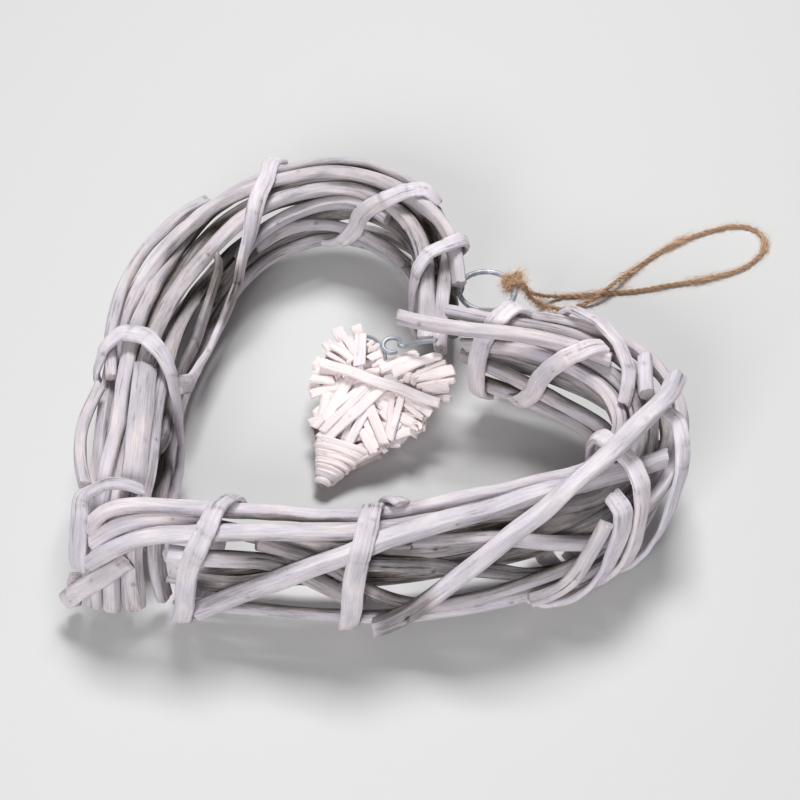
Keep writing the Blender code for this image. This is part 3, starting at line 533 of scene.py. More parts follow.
# Bindings of the right leg and lobe
RIGHT_BINDINGS = (
    ("right_leg_binding_low", BINDING_WIDE, [(158, 46), (135, 44), (110, 41), (90, 38), (45, 33),
     (0, 28), (-45, 24), (-90, 25), (-135, 30), (-180, 36)]),
    ("right_leg_binding_high", BINDING_WIDE, [(140, 97), (110, 96), (90, 94), (45, 91), (0, 88),
     (-45, 86), (-90, 88), (-135, 93), (-180, 98), (-225, 105), (-245, 108)]),
    ("right_lobe_binding_a", BINDING_WIDE, [(-100, 150), (-60, 158), (-25, 170), (0, 176),
     (32, 179), (60, 180), (78, 180)]),
    ("right_lobe_binding_b", BINDING_WIDE, [(200, 206), (165, 203), (125, 199), (90, 194),
     (55, 190), (25, 188), (0, 186), (-30, 182), (-60, 176), (-95, 169), (-130, 166),
     (-165, 168)], 2.0),
    ("right_lobe_binding_c", BINDING_WIDE, [(84, 222), (62, 215), (38, 208), (12, 203), (-15, 197),
     (-45, 189), (-75, 179), (-105, 172)], 2.0),
    ("right_lobe_top_binding", 5.6, [(288, 12.5, 40), (282, 10.5, 50), (268, 6, 54.5),
     (250, -3, 55), (232, -10, 54), (220, -11, 50)], Make.SKEIN, 4.2, 0.5),
    ("right_lobe_inner_binding", BINDING_WIDE, [(86, 256), (100, 259), (120, 263), (145, 269),
     (170, 275), (190, 281), (208, 287), (222, 291)]),
    ("right_cleft_binding", BINDING_WIDE, [(45, 292), (66, 295), (90, 299), (115, 302), (145, 305),
     (180, 307), (212, 306), (240, 303)]),
)

# Bindings of the left lobe and leg and of the tip
LEFT_BINDINGS = (
    ("left_lobe_long_binding", BINDING_WIDE, [(55, 210), (75, 206), (95, 197), (122, 183),
     (150, 174), (172, 163), (187, 148), (193, 126), (188, 104), (178, 84)]),
    ("left_lobe_inner_binding", BINDING_WIDE, [(50, 280), (68, 277), (92, 271), (120, 267),
     (150, 260), (175, 250), (200, 236), (218, 223)]),
    ("left_cleft_binding", 6.0, [(5, 297), (45, 303), (90, 311), (130, 319), (180, 323),
     (230, 320), (262, 316)]),
    ("left_leg_binding", BINDING_WIDE, [(5, 74), (30, 79), (55, 85), (78, 89), (98, 87), (122, 80),
     (150, 72), (180, 66), (205, 58), (240, 45), (270, 38), (300, 36)]),
    ("tip_binding", 7.0, [(16, -14, 55), (15, -8, 57.5), (14, 1, 57.5), (13, 7, 56),
     (11.5, 11.5, 51), (7, 12.5, 43), (2, 14, 34), (-1.5, 15, 26)], Make.SKEIN, 4.2, 0.35),
    ("tip_band", 6.6, [(-8.5, 22.5, 12), (-8.5, 16, 19), (-8, 8, 26), (-6.5, 1.5, 31),
     (-3.5, -5.5, 35)], Make.SKEIN, 4.0, 0.5),
)


def willow() -> list[Strand]:
    """Every rod, strip and binding of the wreath, in the order in which they are laid."""
    groups = ((Side.RIGHT, RIGHT_RODS), (Side.LEFT, LEFT_RODS), (Side.RIGHT, RIGHT_BINDINGS),
              (Side.LEFT, LEFT_BINDINGS))
    return [(rod if len(route[0]) == 3 else binding)(name, side, wide, route, *more)
            for side, rows in groups for name, wide, route, *more in rows]


class Feelers:
    """Balls set closely along every strand, which keep the strands clear of each other."""

    def __init__(self, strands: list[Strand]) -> None:
        """Set the balls along the strands.

        Args:
            strands: every strand that takes up room.
        """
        self.strands = strands
        self.first = np.cumsum([0] + [len(s.points) for s in strands])
        owner, low, share, reach, across = [], [], [], [], []
        for number, strand in enumerate(strands):
            runs = np.linalg.norm(np.diff(strand.points, axis=0), axis=1)
            rows = [0.0]
            if strand.flat():
                edge = (strand.wide - strand.thick) / 2.0
                rows = [-edge, edge] if edge < strand.thick else [-edge, 0.0, edge]
            for k, run in enumerate(runs):
                steps = max(1, int(round(run / FEEL_STEP)))
                for step in range(steps + (k == len(runs) - 1)):
                    for row in rows:
                        owner.append(number)
                        low.append(self.first[number] + k)
                        share.append(step / steps)
                        reach.append(strand.thick / 2.0)
                        across.append(row)
        self.owner = np.array(owner)
        self.low = np.array(low)
        self.share = np.array(share)
        self.reach = np.array(reach)
        self.across = np.array(across)[:, None]
        self.give = np.array([s.give for s in strands])[self.owner]
        self.span = np.searchsorted(self.owner, np.arange(len(strands) + 1))
        self.turn_sides()

    def turn_sides(self) -> None:
        """Work out again which way the wide sides of the strips face."""
        sides = [strip_side(s.points) if s.flat() else np.zeros_like(s.points)
                 for s in self.strands]
        self.offset = self.across * np.vstack(sides)[self.low]

    def places(self) -> Rows:
        """Where the balls are now.

        Returns:
            One place for each ball.
        """
        points = np.vstack([s.points for s in self.strands])
        share = self.share[:, None]
        return points[self.low] * (1.0 - share) + points[self.low + 1] * share + self.offset

    def near_pairs(self, slack: float) -> Rows:
        """Pairs of balls of different strands that are within `slack` of touching.

        Args:
            slack: millimetres from touching.

        Returns:
            The two balls' numbers, one row for each pair.
        """
        at = self.places()
        reach = self.reach
        rows = [at[first:last] for first, last in zip(self.span, self.span[1:])]
        low = np.array([row.min(axis=0) for row in rows]) - slack - reach.max()
        high = np.array([row.max(axis=0) for row in rows]) + slack + reach.max()
        pairs = []
        for one in range(len(rows)):
            for two in range(one + 1, len(rows)):
                if (low[one] > high[two]).any() or (low[two] > high[one]).any():
                    continue
                a = self.span[one]
                b = self.span[two]
                gap = ((rows[one][:, None, :] - rows[two][None, :, :]) ** 2).sum(axis=2)
                i, j = np.nonzero(gap < (reach[a] + reach[b] + slack) ** 2)
                pairs.append(np.stack([a + i, b + j], axis=1))
        return np.vstack(pairs)


def eased(shift: Rows, share: float) -> Rows:
    """A shift along a strand, evened out between neighbouring points."""
    padded = np.vstack([shift[:1], shift, shift[-1:]])
    return shift + share * (padded[:-2] - 2.0 * shift + padded[2:])


def lay_clear(strands: list[Strand]) -> None:
    """Move the strands apart, each as little as it can, until none touches another.

    In each round every pair of balls that is too close pushes its two strands apart by what
    is lacking, shared by their give, and the shifts are evened out along each strand.

    Args:
        strands: the strands, which are changed in place; one with no give stays put.
    """
    feelers = Feelers(strands)
    total = feelers.first[-1]
    for turn in range(ROUNDS):
        if turn % LOOK_EVERY == 0:
            feelers.turn_sides()
            pairs = feelers.near_pairs(NEIGHBOUR_GAP + LOOK_SLACK)
        at = feelers.places()
        i, j = pairs.T
        way = at[j] - at[i]
        gap = np.linalg.norm(way, axis=1) + 1e-9
        lack = feelers.reach[i] + feelers.reach[j] + NEIGHBOUR_GAP - gap
        hit = lack > 0.0
        i, j, move = i[hit], j[hit], way[hit] * (lack[hit] / gap[hit])[:, None]
        give_i, give_j = feelers.give[i], feelers.give[j]
        both = give_i + give_j + 1e-9
        ball = np.concatenate([i, i, j, j])
        knot = feelers.low[ball]
        part = feelers.share[ball]
        later = np.repeat([False, True, False, True], len(i))
        part = np.where(later, part, 1.0 - part)
        knot = knot + later
        away = np.concatenate([-give_i / both, -give_i / both, give_j / both, give_j / both])
        move = np.tile(move, (4, 1)) * (away * part)[:, None]
        load = np.bincount(knot, part ** 2, total)
        push = np.stack([np.bincount(knot, move[:, k], total) for k in range(3)], axis=1)
        push /= np.maximum(load, LEAST_LOAD)[:, None]
        for number, strand in enumerate(strands):
            if strand.give == 0.0:
                continue
            span = slice(feelers.first[number], feelers.first[number + 1])
            shift = strand.points + push[span] - strand.start
            if turn < EVEN_UNTIL:
                shift = eased(shift, ROUND_EASE)
            strand.points = strand.start + shift
            strand.points[:, 2] = np.maximum(strand.points[:, 2], strand.lowest)


DRIFT_WAVES = 5
SHARP_FROM = math.radians(50.0)
DRESS = ("grain", "tone", "hue")


def seed_of(name: str) -> Draws:
    """The random draws that belong to a piece, the same ones each time."""
    return np.random.default_rng(zlib.crc32(name.encode()))


def drift(at: Rows, reach: float, rng: Draws) -> Rows:
    """Smooth random value along a line, mostly between -1 and 1.

    It is a sum of sines of random phase, divided by the root of their number.

    Args:
        at: places along the line.
        reach: about how far apart its swings are.
        rng: random draws.

    Returns:
        One value for each place.
    """
    total = np.zeros(len(at))
    for _ in range(DRIFT_WAVES):
        total += np.sin(TAU * at / (reach * rng.uniform(0.6, 2.2)) + rng.uniform(0.0, TAU))
    return total / math.sqrt(DRIFT_WAVES)


def ramp(value: Rows, low: float, high: float) -> Rows:
    """Smooth step from 0 at `low` to 1 at `high`: three squares less two cubes of the share."""
    share = np.clip((value - low) / (high - low), 0.0, 1.0)
    return share * share * (3.0 - 2.0 * share)


def bell(gap: Rows, reach: float) -> Rows:
    """Bell curve that is 1 at no gap and e to the minus 1 at `reach`."""
    return np.exp(-(gap / reach) ** 2)


@dataclass
class Shell:
    """Closed surface in heart line millimetres, with what its finish reads at every point.

    `grain` holds millimetres across, through and along the piece, `tone` holds relief, cut end
    and wear, with painted shade on the side that faces in, and `hue` holds brightness, warmth and
    bareness, which carry painted shade deep inside the bundles and under the small heart's face
    strips.  On the jute the relief is painted lighter on ridges and darker in grooves, as
    highlight and shade.
    """

    points: Rows
    quads: Rows
    tris: Rows
    grain: Rows
    tone: Rows
    hue: Rows

    @staticmethod
    def together(shells: list["Shell"]) -> "Shell":
        """One shell that holds all of these.

        Args:
            shells: the shells.

        Returns:
            The whole.
        """
        first = np.cumsum([0] + [len(s.points) for s in shells])
        rows = {}
        for key in ("points", *DRESS):
            rows[key] = np.vstack([getattr(s, key) for s in shells])
        for key in ("quads", "tris"):
            rows[key] = np.vstack([getattr(s, key) + n for s, n in zip(shells, first)])
        return Shell(**rows)

    def piece(self, name: str, material: Material) -> Thing:
        """Make the object of this shell.

        Args:
            name: name of the object.
            material: its finish.

        Returns:
            The object, at the origin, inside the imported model's box.
        """
        low, high = np.array(CAD_BOX)
        place = np.clip(metres(self.points), low, high)
        mesh = bpy.data.meshes.new(name)
        mesh.vertices.add(len(place))
        mesh.vertices.foreach_set("co", place.astype(np.float32).ravel())
        corners = np.concatenate([self.quads.ravel(), self.tris.ravel()]).astype(np.int32)
        starts = np.concatenate([4 * np.arange(len(self.quads)),
                                 4 * len(self.quads) + 3 * np.arange(len(self.tris))])
        mesh.loops.add(len(corners))
        mesh.loops.foreach_set("vertex_index", corners)
        mesh.polygons.add(len(starts))
        mesh.polygons.foreach_set("loop_start", starts.astype(np.int32))
        mesh.polygons.foreach_set("use_smooth", np.ones(len(starts), bool))
        mesh.update(calc_edges=True)
        mesh.set_sharp_from_angle(angle=SHARP_FROM)
        for key in DRESS:
            layer = mesh.attributes.new(key, "FLOAT_VECTOR", "POINT")
            layer.data.foreach_set("vector", getattr(self, key).astype(np.float32).ravel())
        mesh.materials.append(material)
        return in_scene(name, mesh)


def in_scene(name: str, data: bpy.types.ID) -> Thing:
    """A new object with this data, linked to the scene.

    Args:
        name: its name.
        data: its mesh, lamp or camera.

    Returns:
        The object.
    """
    thing = bpy.data.objects.new(name, data)
    bpy.context.scene.collection.objects.link(thing)
    return thing


def carried(line: Rows, side: Rows, start: int) -> Rows:
    """A direction across a line that turns with it as little as it can.

    Args:
        line: its points, close together.
        side: the direction at one of them.
        start: which one that is.

    Returns:
        The direction at every point.
    """
    way = headings(line)
    rows = np.zeros_like(way)
    for order in (range(start, len(line)), range(start, -1, -1)):
        last = np.array(side, float)
        for k in order:
            last = last - (last @ way[k]) * way[k]
            last /= np.linalg.norm(last)
            rows[k] = last
    return rows


def swept(line: Rows, x: Rows, y: Rows, one: Rows, two: Rows) -> Rows:
    """Rings of points round a line, x along its first direction and y along its second."""
    rings = line[:, None, :] + x[..., None] * one[:, None, :]
    return rings + y[..., None] * two[:, None, :]


def closed_tube(rings: Rows) -> tuple[Rows, Rows]:
    """Faces of a tube through rings of points, closed by a fan at both ends.

    The points are the rings' own, in order, and then the two end points.

    Args:
        rings: array whose first two axes are the rings and the points round each.

    Returns:
        The quads and the triangles.
    """
    count, around = rings.shape[:2]
    ids = np.arange(count * around).reshape(count, around)
    on = np.roll(ids, -1, axis=1)
    quads = np.stack([ids[:-1], ids[1:], on[1:], on[:-1]], axis=-1).reshape(-1, 4)
    first = np.full(around, count * around)
    tris = np.vstack([np.stack([first, ids[0], on[0]], axis=1),
                      np.stack([ids[-1], first + 1, on[-1]], axis=1)])
    return quads, tris


def looped_tube(rings: Rows) -> Rows:
    """Quads of a tube whose last ring joins its first.

    Args:
        rings: array whose first two axes are the rings and the points round each.

    Returns:
        The quads.
    """
    count, around = rings.shape[:2]
    ids = np.arange(count * around).reshape(count, around)
    later = np.roll(ids, -1, axis=0)
    quads = [ids, later, np.roll(later, -1, axis=1), np.roll(ids, -1, axis=1)]
    return np.stack(quads, axis=-1).reshape(-1, 4)


# Powers that shape the section of each make of willow: across, over its middle and under it
POWERS = {Make.ROUND: (0.92, 0.92, 0.9), Make.SPLIT: (0.7, 0.8, 0.5),
          Make.SKEIN: (0.55, 0.75, 0.5)}
OUTLINE_POINTS = 1441


@dataclass(frozen=True)
class Section:
    """Plain outline of a piece across its length, with evenly spaced points."""

    x: Rows
    y: Rows
    out: Rows
    turn: Rows
    girth: float

    @staticmethod
    def of(make: Make, wide: float, thick: float, around: int) -> "Section":
        """Outline of one make of willow.

        Across is the half width times the cosine raised to a power, and through is the half
        thickness times the sine raised to a power; lower powers give squarer corners.

        Args:
            make: how the willow was made.
            wide: width.
            thick: thickness.
            around: number of points.

        Returns:
            The outline, from the side with X positive, over the top and back.
        """
        across, over, under = POWERS[make]
        t = np.linspace(0.0, TAU, OUTLINE_POINTS)
        s = np.sin(t)
        x = wide / 2.0 * powered(np.cos(t), across)
        y = thick / 2.0 * powered(s, np.where(s > 0.0, over, under))
        run = run_along(np.stack([x, y], axis=1))
        at = np.linspace(0.0, run[-1], around, endpoint=False)
        x = np.interp(at, run, x)
        y = np.interp(at, run, y)
        ring = np.stack([x, y], axis=1)
        way = unit(np.roll(ring, -1, axis=0) - np.roll(ring, 1, axis=0))
        out = np.stack([way[:, 1], -way[:, 0]], axis=1)
        return Section(x, y, out, TAU * at / run[-1], float(run[-1]))


@dataclass(frozen=True)
class Bark:
    """How rough a length of willow is, in millimetres."""

    lump: float = 0.06
    ridge: float = 0.028
    knot: float = 0.36
    crack: float = 0.32
    wrinkle: float = 0.10


@dataclass
class Relief:
    """Surface of one length of willow over its plain section, on a grid of along and around."""

    along: Rows
    section: Section
    fold: Rows
    rng: Draws
    bark: Bark = Bark()

    def __post_init__(self) -> None:
        """Set up the grid and lay the features on it one after the other."""
        self.s = self.along[:, None]
        self.t = self.section.turn[None, :]
        self.rise = np.zeros((len(self.along), len(self.section.turn)))
        self.wear = np.zeros_like(self.rise)
        self.lumps()
        self.ridges()
        self.knots()
        self.cracks()
        self.creases()

    def apart(self, turn: float) -> Rows:
        """Millimetres round the section from each point to the place at `turn`."""
        return (np.mod(self.t - turn + math.pi, TAU) - math.pi) * self.section.girth / TAU

    def lumps(self) -> None:
        """Broad hollows and swellings."""
        for waves in (1, 2, 2, 3, 3, 4):
            pitch = self.rng.uniform(16.0, 80.0) * self.rng.choice((-1.0, 1.0))
            deep = self.bark.lump * self.rng.uniform(0.5, 1.3)
            phase = self.rng.uniform(0.0, TAU)
            self.rise += deep * np.sin(waves * self.t + TAU * self.s / pitch + phase)

    def ridges(self) -> None:
        """Ridges of the grain, which run lengthwise and wander a little."""
        for waves in (5, 6, 8, 9, 11, 13):
            sway = 0.8 * drift(self.along, 55.0, self.rng)[:, None] + self.rng.uniform(0.0, TAU)
            swell = 0.6 + 0.5 * drift(self.along, 25.0, self.rng)[:, None]
            deep = self.bark.ridge * self.rng.uniform(0.4, 1.3)
            self.rise += deep * swell * np.sin(waves * self.t + sway)

    def knots(self) -> None:
        """Buds with a scar above each, mostly on the side that faces out."""
        at = self.rng.uniform(5.0, 32.0)
        while at < self.along[-1] - 5.0:
            off = self.apart(self.rng.uniform(0.05, 0.95) * math.pi)
            high = self.bark.knot * self.rng.uniform(0.5, 1.2)
            long = self.rng.uniform(1.3, 2.4)
            self.rise += high * bell(self.s - at, long) * bell(off, 1.3)
            self.rise += 0.35 * high * bell(self.s - at, 2.2 * long)
            self.rise -= 0.8 * high * bell(self.s - at - 1.2 * long, 0.7) * bell(off, 0.8)
            self.wear += 0.8 * bell(self.s - at - 1.2 * long, 0.9) * bell(off, 1.0)
            at += self.rng.uniform(48.0, 120.0)

    def cracks(self) -> None:
        """Lengthwise splits and scratches."""
        for _ in range(1 + int(self.along[-1] / self.rng.uniform(30.0, 60.0))):
            middle = self.rng.uniform(0.0, self.along[-1])
            half = self.rng.uniform(4.0, 24.0)
            place = self.rng.uniform(0.0, 1.0) * math.pi + 0.05 * drift(self.along, 18.0, self.rng)
            off = np.mod(self.t - place[:, None] + math.pi, TAU) - math.pi
            mask = ramp(half - np.abs(self.s - middle), 0.0, 3.0)
            mask = mask * bell(off * self.section.girth / TAU, self.rng.uniform(0.22, 0.36))
            self.rise -= self.bark.crack * self.rng.uniform(0.5, 1.0) * mask
            self.wear += 0.7 * mask

    def creases(self) -> None:
        """Wrinkles inside each tight bend and a crease over its crest."""
        fold = self.fold[:, None]
        inner = ramp(-np.sin(self.t), -0.2, 0.7)
        sway = 0.5 * drift(self.along, 6.0, self.rng)[:, None]
        waves = np.sin(TAU * self.s / 1.9 + sway + 1.2 * np.cos(self.t))
        self.rise += self.bark.wrinkle * fold * inner * waves
        crests = (self.fold[1:-1] > 0.35) & (self.fold[1:-1] >= self.fold[:-2])
        crests &= self.fold[1:-1] > self.fold[2:]
        for at in self.along[1:-1][crests]:
            for _ in range(3):
                place = at + self.rng.normal(0.0, 1.6)
                skew = self.rng.uniform(-0.9, 0.9) * np.cos(self.t)
                mask = bell(self.s - place - skew, self.rng.uniform(0.45, 0.8))
                mask = mask * ramp(np.sin(self.t + self.rng.uniform(-0.5, 0.5)), -0.3, 0.6)
                self.rise -= self.rng.uniform(0.10, 0.26) * mask
                self.wear += 0.12 * mask


def buried(middle: Rows, rings: Rows) -> Rows:
    """How deep inside its bundle each point lies, for the painted shade inside the bundles: 0 at
    the surface and 1 in the core.

    The bundle's section is a rounded box, so the depth is one less the root of the sum of the
    outward and the height share, each raised to the root's own power.

    Args:
        middle: middle of each ring.
        rings: the points round each ring.

    Returns:
        One depth for each point of the rings.
    """
    depth = np.zeros(rings.shape[:2])
    for heart in LINES.values():
        k, _ = heart.nearest(middle)
        off = rings[..., :2] - heart.line[k][:, None, :]
        outward = (off * heart.out[k][:, None, :]).sum(axis=2) / BUNDLE_HALF
        high = (rings[..., 2] - BUNDLE_MIDDLE) / BUNDLE_HIGH
        total = np.abs(outward) ** BUNDLE_POWER + np.abs(high) ** BUNDLE_POWER
        inside = np.clip(1.0 - total ** (1.0 / BUNDLE_POWER), 0.0, 1.0)
        for end, core in ((heart.run_on, CORE_FROM_TIP), (-1 - heart.run_on, CORE_FROM_CLEFT)):
            inside *= ramp(np.linalg.norm(rings[..., :2] - heart.line[end], axis=2), *core)
        depth = np.maximum(depth, inside)
    return depth


@dataclass
class Length:
    """One length of willow as a closed shell: its line, its wide side and its section."""

    line: Rows
    side: Rows
    make: Make
    wide: float
    thick: float
    rng: Draws
    hue: tuple = (0.5, 0.5, 0.3)
    around: int = 36
    bark: Bark = Bark()
    taper: float = 0.06
    ragged: float = 0.45
    in_bundle: bool = False
    flats: tuple = ()

    cap_sizes: tuple = (0.93, 0.72, 0.45, 0.2)
    fold_from: float = 0.045
    fold_full: float = 0.10
    fold_wear: float = 0.12
    cut_tone: float = 0.55
    cut_long: float = 1.6
    cut_reach: float = 4.0
    # Painted shade: how much the side that faces in is darkened, as wear and shade, and how much
    # darker, as shade, and barer, as the wash reaches less, the pieces deep inside a bundle are
    back_wear_and_shade: float = 0.55
    painted_shade_in_core: float = 0.75
    bare_and_shaded_in_core: float = 0.9

    def shell(self) -> Shell:
        """The whole surface.

        Returns:
            The shell, closed at both ends.
        """
        along = run_along(self.line)
        way = headings(self.line)
        side = unit(self.side - (self.side * way).sum(axis=1)[:, None] * way)
        up = np.cross(side, way)
        curve = np.linalg.norm(np.gradient(way, axis=0), axis=1)
        curve = evened((curve / np.maximum(np.gradient(along), 1e-6))[:, None], 3)[:, 0]
        fold = ramp(curve, self.fold_from, self.fold_full)
        section = Section.of(self.make, self.wide, self.thick, self.around)
        relief = Relief(along, section, fold, self.rng, self.bark)
        swell = 1.0 + 0.022 * drift(along, 45.0, self.rng) + self.taper * (
            along / along[-1] - 0.5) * self.rng.choice((-1.0, 1.0))
        wide = swell * (1.0 + 0.05 * fold)
        thick = swell * (1.0 + 0.03 * drift(along, 19.0, self.rng)) * (1.0 - 0.08 * fold)
        x = section.x[None, :] * wide[:, None] + section.out[None, :, 0] * relief.rise
        y = section.y[None, :] * thick[:, None] + section.out[None, :, 1] * relief.rise
        for lean in self.flats:
            x, y = self.planed(x, y, along, lean)
        twist = 0.16 * drift(along, 60.0, self.rng)[:, None]
        x, y = x * np.cos(twist) - y * np.sin(twist), x * np.sin(twist) + y * np.cos(twist)
        wear = np.clip(relief.wear + self.fold_wear * fold[:, None], 0.0, 1.0)
        tall = np.clip(0.5 + 1.6 * relief.rise, 0.0, 1.0)
        # The side that faces in, below the section's middle: barer wood and painted shade
        back = ramp(-np.sin(section.turn), 0.1, 0.9)[None, :] + 0.0 * x
        z = np.zeros_like(x)
        for end in (0, -1):
            z += self.cut(x, y, np.abs(along - along[end]), 1.0 if end else -1.0)
        rings = swept(self.line, x, y, side, up) + z[..., None] * way[:, None, :]
        near = np.minimum(along, along[-1] - along)[:, None] + 0.0 * x
        grain = np.stack([x, y, z + along[:, None]], axis=-1)
        end = self.cut_tone * (1.0 - ramp(near, 0.0, self.cut_long))
        # The wear part is raised on the side that faces in, as painted shade
        tone = np.stack([tall, end, np.maximum(wear, self.back_wear_and_shade * back)], axis=-1)
        return self.capped(rings, grain, tone, way)

    def planed(self, x: Rows, y: Rows, along: Rows, lean: float) -> tuple[Rows, Rows]:
        """Shave a flat along the piece, whose direction and depth wander.

        Args:
            x: points across.
            y: points through.
            along: place of each ring along the piece.
            lean: direction of the flat from the top, in radians.

        Returns:
            The points across and through, brought back to the flat.
        """
        turn = math.pi / 2.0 + lean + self.rng.normal(0.0, 0.25)
        turn = turn + 0.22 * drift(along, 80.0, self.rng)
        c = np.cos(turn)[:, None]
        s = np.sin(turn)[:, None]
        reach = np.hypot(self.wide / 2.0 * c, self.thick / 2.0 * s)
        deep = self.rng.uniform(0.80, 0.90) + 0.035 * drift(along, 50.0, self.rng)
        over = np.maximum(0.0, x * c + y * s - reach * deep[:, None])
        return x - 0.92 * over * c, y - 0.92 * over * s

    def cut(self, x: Rows, y: Rows, near: Rows, sign: float) -> Rows:
        """How far a slanted, ragged cut moves the points near one end along the piece.

        Args:
            x: points across.
            y: points through.
            near: distance of each ring from that end.
            sign: 1 at the last end and -1 at the first.

        Returns:
            The shift along the piece, nothing beyond the reach of the cut.
        """
        lean = self.rng.uniform(0.0, TAU)
        slope = self.rng.uniform(0.05, 0.5)
        turn = all_round(self.around)
        torn = np.zeros(self.around)
        for waves in (2, 3, 5, 8, 11, 14):
            torn += np.sin(waves * turn + self.rng.uniform(0.0, TAU)) / math.sqrt(waves)
        plane = slope * (x * math.cos(lean) + y * math.sin(lean)) - 0.5 * slope * self.wide
        shift = plane + self.ragged * (0.35 * torn - 0.35)[None, :]
        share = 1.0 - np.clip(near / self.cut_reach, 0.0, 1.0)
        return sign * shift * (share ** 2)[:, None]

    def capped(self, rings: Rows, grain: Rows, tone: Rows, way: Rows) -> Shell:
        """Close both ends with rings that shrink to a point.

        Args:
            rings: points of the rings.
            grain: their grain.
            tone: their tone.
            way: direction along the piece at each ring.

        Returns:
            The closed shell.
        """
        extra = {0: [], -1: []}
        middles = {}
        for end in (0, -1):
            sign = 1.0 if end else -1.0
            middle = rings[end].mean(axis=0)
            for size in self.cap_sizes:
                ring = middle + (rings[end] - middle) * size
                bumps = self.rng.normal(0.0, 0.06, self.around)[:, None]
                dome = 0.32 * (1.0 - size ** 3)
                ring = ring + (dome + bumps * (1.0 - size ** 4)) * sign * way[end]
                mark = np.tile([0.6, 1.0, 0.05], (self.around, 1))
                extra[end].append((ring, grain[end] * [size, size, 1.0] + [9.0, 0, 0], mark))
            middles[end] = middle + 0.3 * sign * way[end]
        first = extra[0][::-1]
        last = extra[-1]
        stack = [np.stack([e[k] for e in first] + list(body) + [e[k] for e in last])
                 for k, body in enumerate((rings, grain, tone))]
        quads, tris = closed_tube(stack[0])
        ends = [[middles[0], middles[-1]], [stack[1][0].mean(axis=0), stack[1][-1].mean(axis=0)],
                [[0.5, 1.0, 0.15], [0.5, 1.0, 0.15]]]
        points, grains, tones = (np.vstack([s.reshape(-1, 3), e]) for s, e in zip(stack, ends))
        grains = grains + self.rng.uniform(-500.0, 500.0, 3)
        hues = np.tile(self.hue, (len(points), 1))
        # Pieces deep inside a bundle: darker as painted shade between the rods, and barer as the
        # wash reaches them less
        if self.in_bundle:
            depth = ramp(buried(stack[0].mean(axis=1), stack[0]), 0.08, 0.5).ravel()
            depth = np.concatenate([depth, depth[:1], depth[-1:]])
            hues[:, 0] -= self.painted_shade_in_core * depth
            hues[:, 2] += self.bare_and_shaded_in_core * depth
        return Shell(points, quads, tris, grains, tones, hues)


class Graph:
    """A node tree that is put together one node at a time."""

    def __init__(self, tree: Tree) -> None:
        """Work on this tree."""
        self.tree = tree

    def add(self, kind: str, inputs: dict | None = None, **settings: object) -> bpy.types.Node:
        """Add a node.

        Args:
            kind: its type.
            inputs: sockets by name or number, each given a value or joined to another socket.
            settings: properties of the node.

        Returns:
            The node.
        """
        node = self.tree.nodes.new(kind)
        for key, value in settings.items():
            setattr(node, key, value)
        self.feed(node, inputs or {})
        return node

    def feed(self, node: bpy.types.Node, inputs: dict) -> None:
        """Join each of a node's inputs to a socket, or give it a value.

        Args:
            node: the node.
            inputs: sockets by name or number, with what each gets.
        """
        for key, value in inputs.items():
            if isinstance(value, Socket):
                self.tree.links.new(value, node.inputs[key])
            else:
                node.inputs[key].default_value = value

    def math(self, operation: str, *values: object, clamp: bool = False) -> Socket:
        """Result of a sum, product or the like of these numbers or sockets."""
        node = self.add("ShaderNodeMath", dict(enumerate(values)), operation=operation,
                        use_clamp=clamp)
        return node.outputs[0]

    def total(self, start: object, *terms: tuple) -> Socket:
        """A start value plus each term's value times its share, a term being such a pair."""
        for value, share in terms:
            start = self.math("MULTIPLY_ADD", value, share, start)
        return start

    def scaled(self, vector: Socket, factors: tuple) -> Socket:
        """A vector with each part multiplied by its factor."""
        node = self.add("ShaderNodeVectorMath", {0: vector, 1: factors}, operation="MULTIPLY")
        return node.outputs[0]

    def noise(self, vector: Socket, detail: float, rough: float) -> Socket:
        """Smooth noise about 0.5 at a place, with its finer layers and how strong they are."""
        node = self.add("ShaderNodeTexNoise", {"Vector": vector, "Scale": 1.0, "Detail": detail,
                                               "Roughness": rough})
        return node.outputs[0]

    def step(self, value: Socket, low: float, high: float) -> Socket:
        """Smooth step of a value, from 0 at `low` to 1 at `high`."""
        node = self.add("ShaderNodeMapRange", {"Value": value, "From Min": low, "From Max": high},
                        interpolation_type="SMOOTHSTEP")
        return node.outputs[0]

    def mixed(self, share: object, one: object, two: object) -> Socket:
        """Colour between two colours."""
        node = self.add("ShaderNodeMix", {0: share, 6: one, 7: two}, data_type="RGBA")
        return node.outputs[2]

    def read(self, name: str) -> Socket:
        """A vector attribute of the mesh."""
        return self.add("ShaderNodeAttribute", attribute_name=name).outputs["Vector"]

    def parts(self, name: str) -> object:
        """The three parts of a vector attribute."""
        return self.add("ShaderNodeSeparateXYZ", {0: self.read(name)}).outputs

    def placed(self, tree: Tree, inputs: dict) -> object:
        """Outputs of a node group that is placed here and fed."""
        return self.add("ShaderNodeGroup", inputs, node_tree=tree).outputs

    def bump(self, height: Socket, strength: float, reach: float) -> Socket:
        """Normal of a bump, whose reach is the metres that a height of 1 stands for."""
        node = self.add("ShaderNodeBump", {"Strength": strength, "Distance": reach,
                                           "Height": height})
        return node.outputs["Normal"]


def group(name: str, takes: dict, gives: dict) -> tuple[Tree, Graph, object, object]:
    """Start a shader node group.

    Args:
        name: its name.
        takes: socket type of each input.
        gives: socket type of each output.

    Returns:
        The group, a graph to fill it, its input sockets and its output node.
    """
    tree = bpy.data.node_groups.new(name, "ShaderNodeTree")
    for way, sockets in (("INPUT", takes), ("OUTPUT", gives)):
        for label, kind in sockets.items():
            tree.interface.new_socket(label, in_out=way, socket_type=kind)
    graph = Graph(tree)
    return tree, graph, graph.add("NodeGroupInput").outputs, graph.add("NodeGroupOutput")


FLOAT = "NodeSocketFloat"

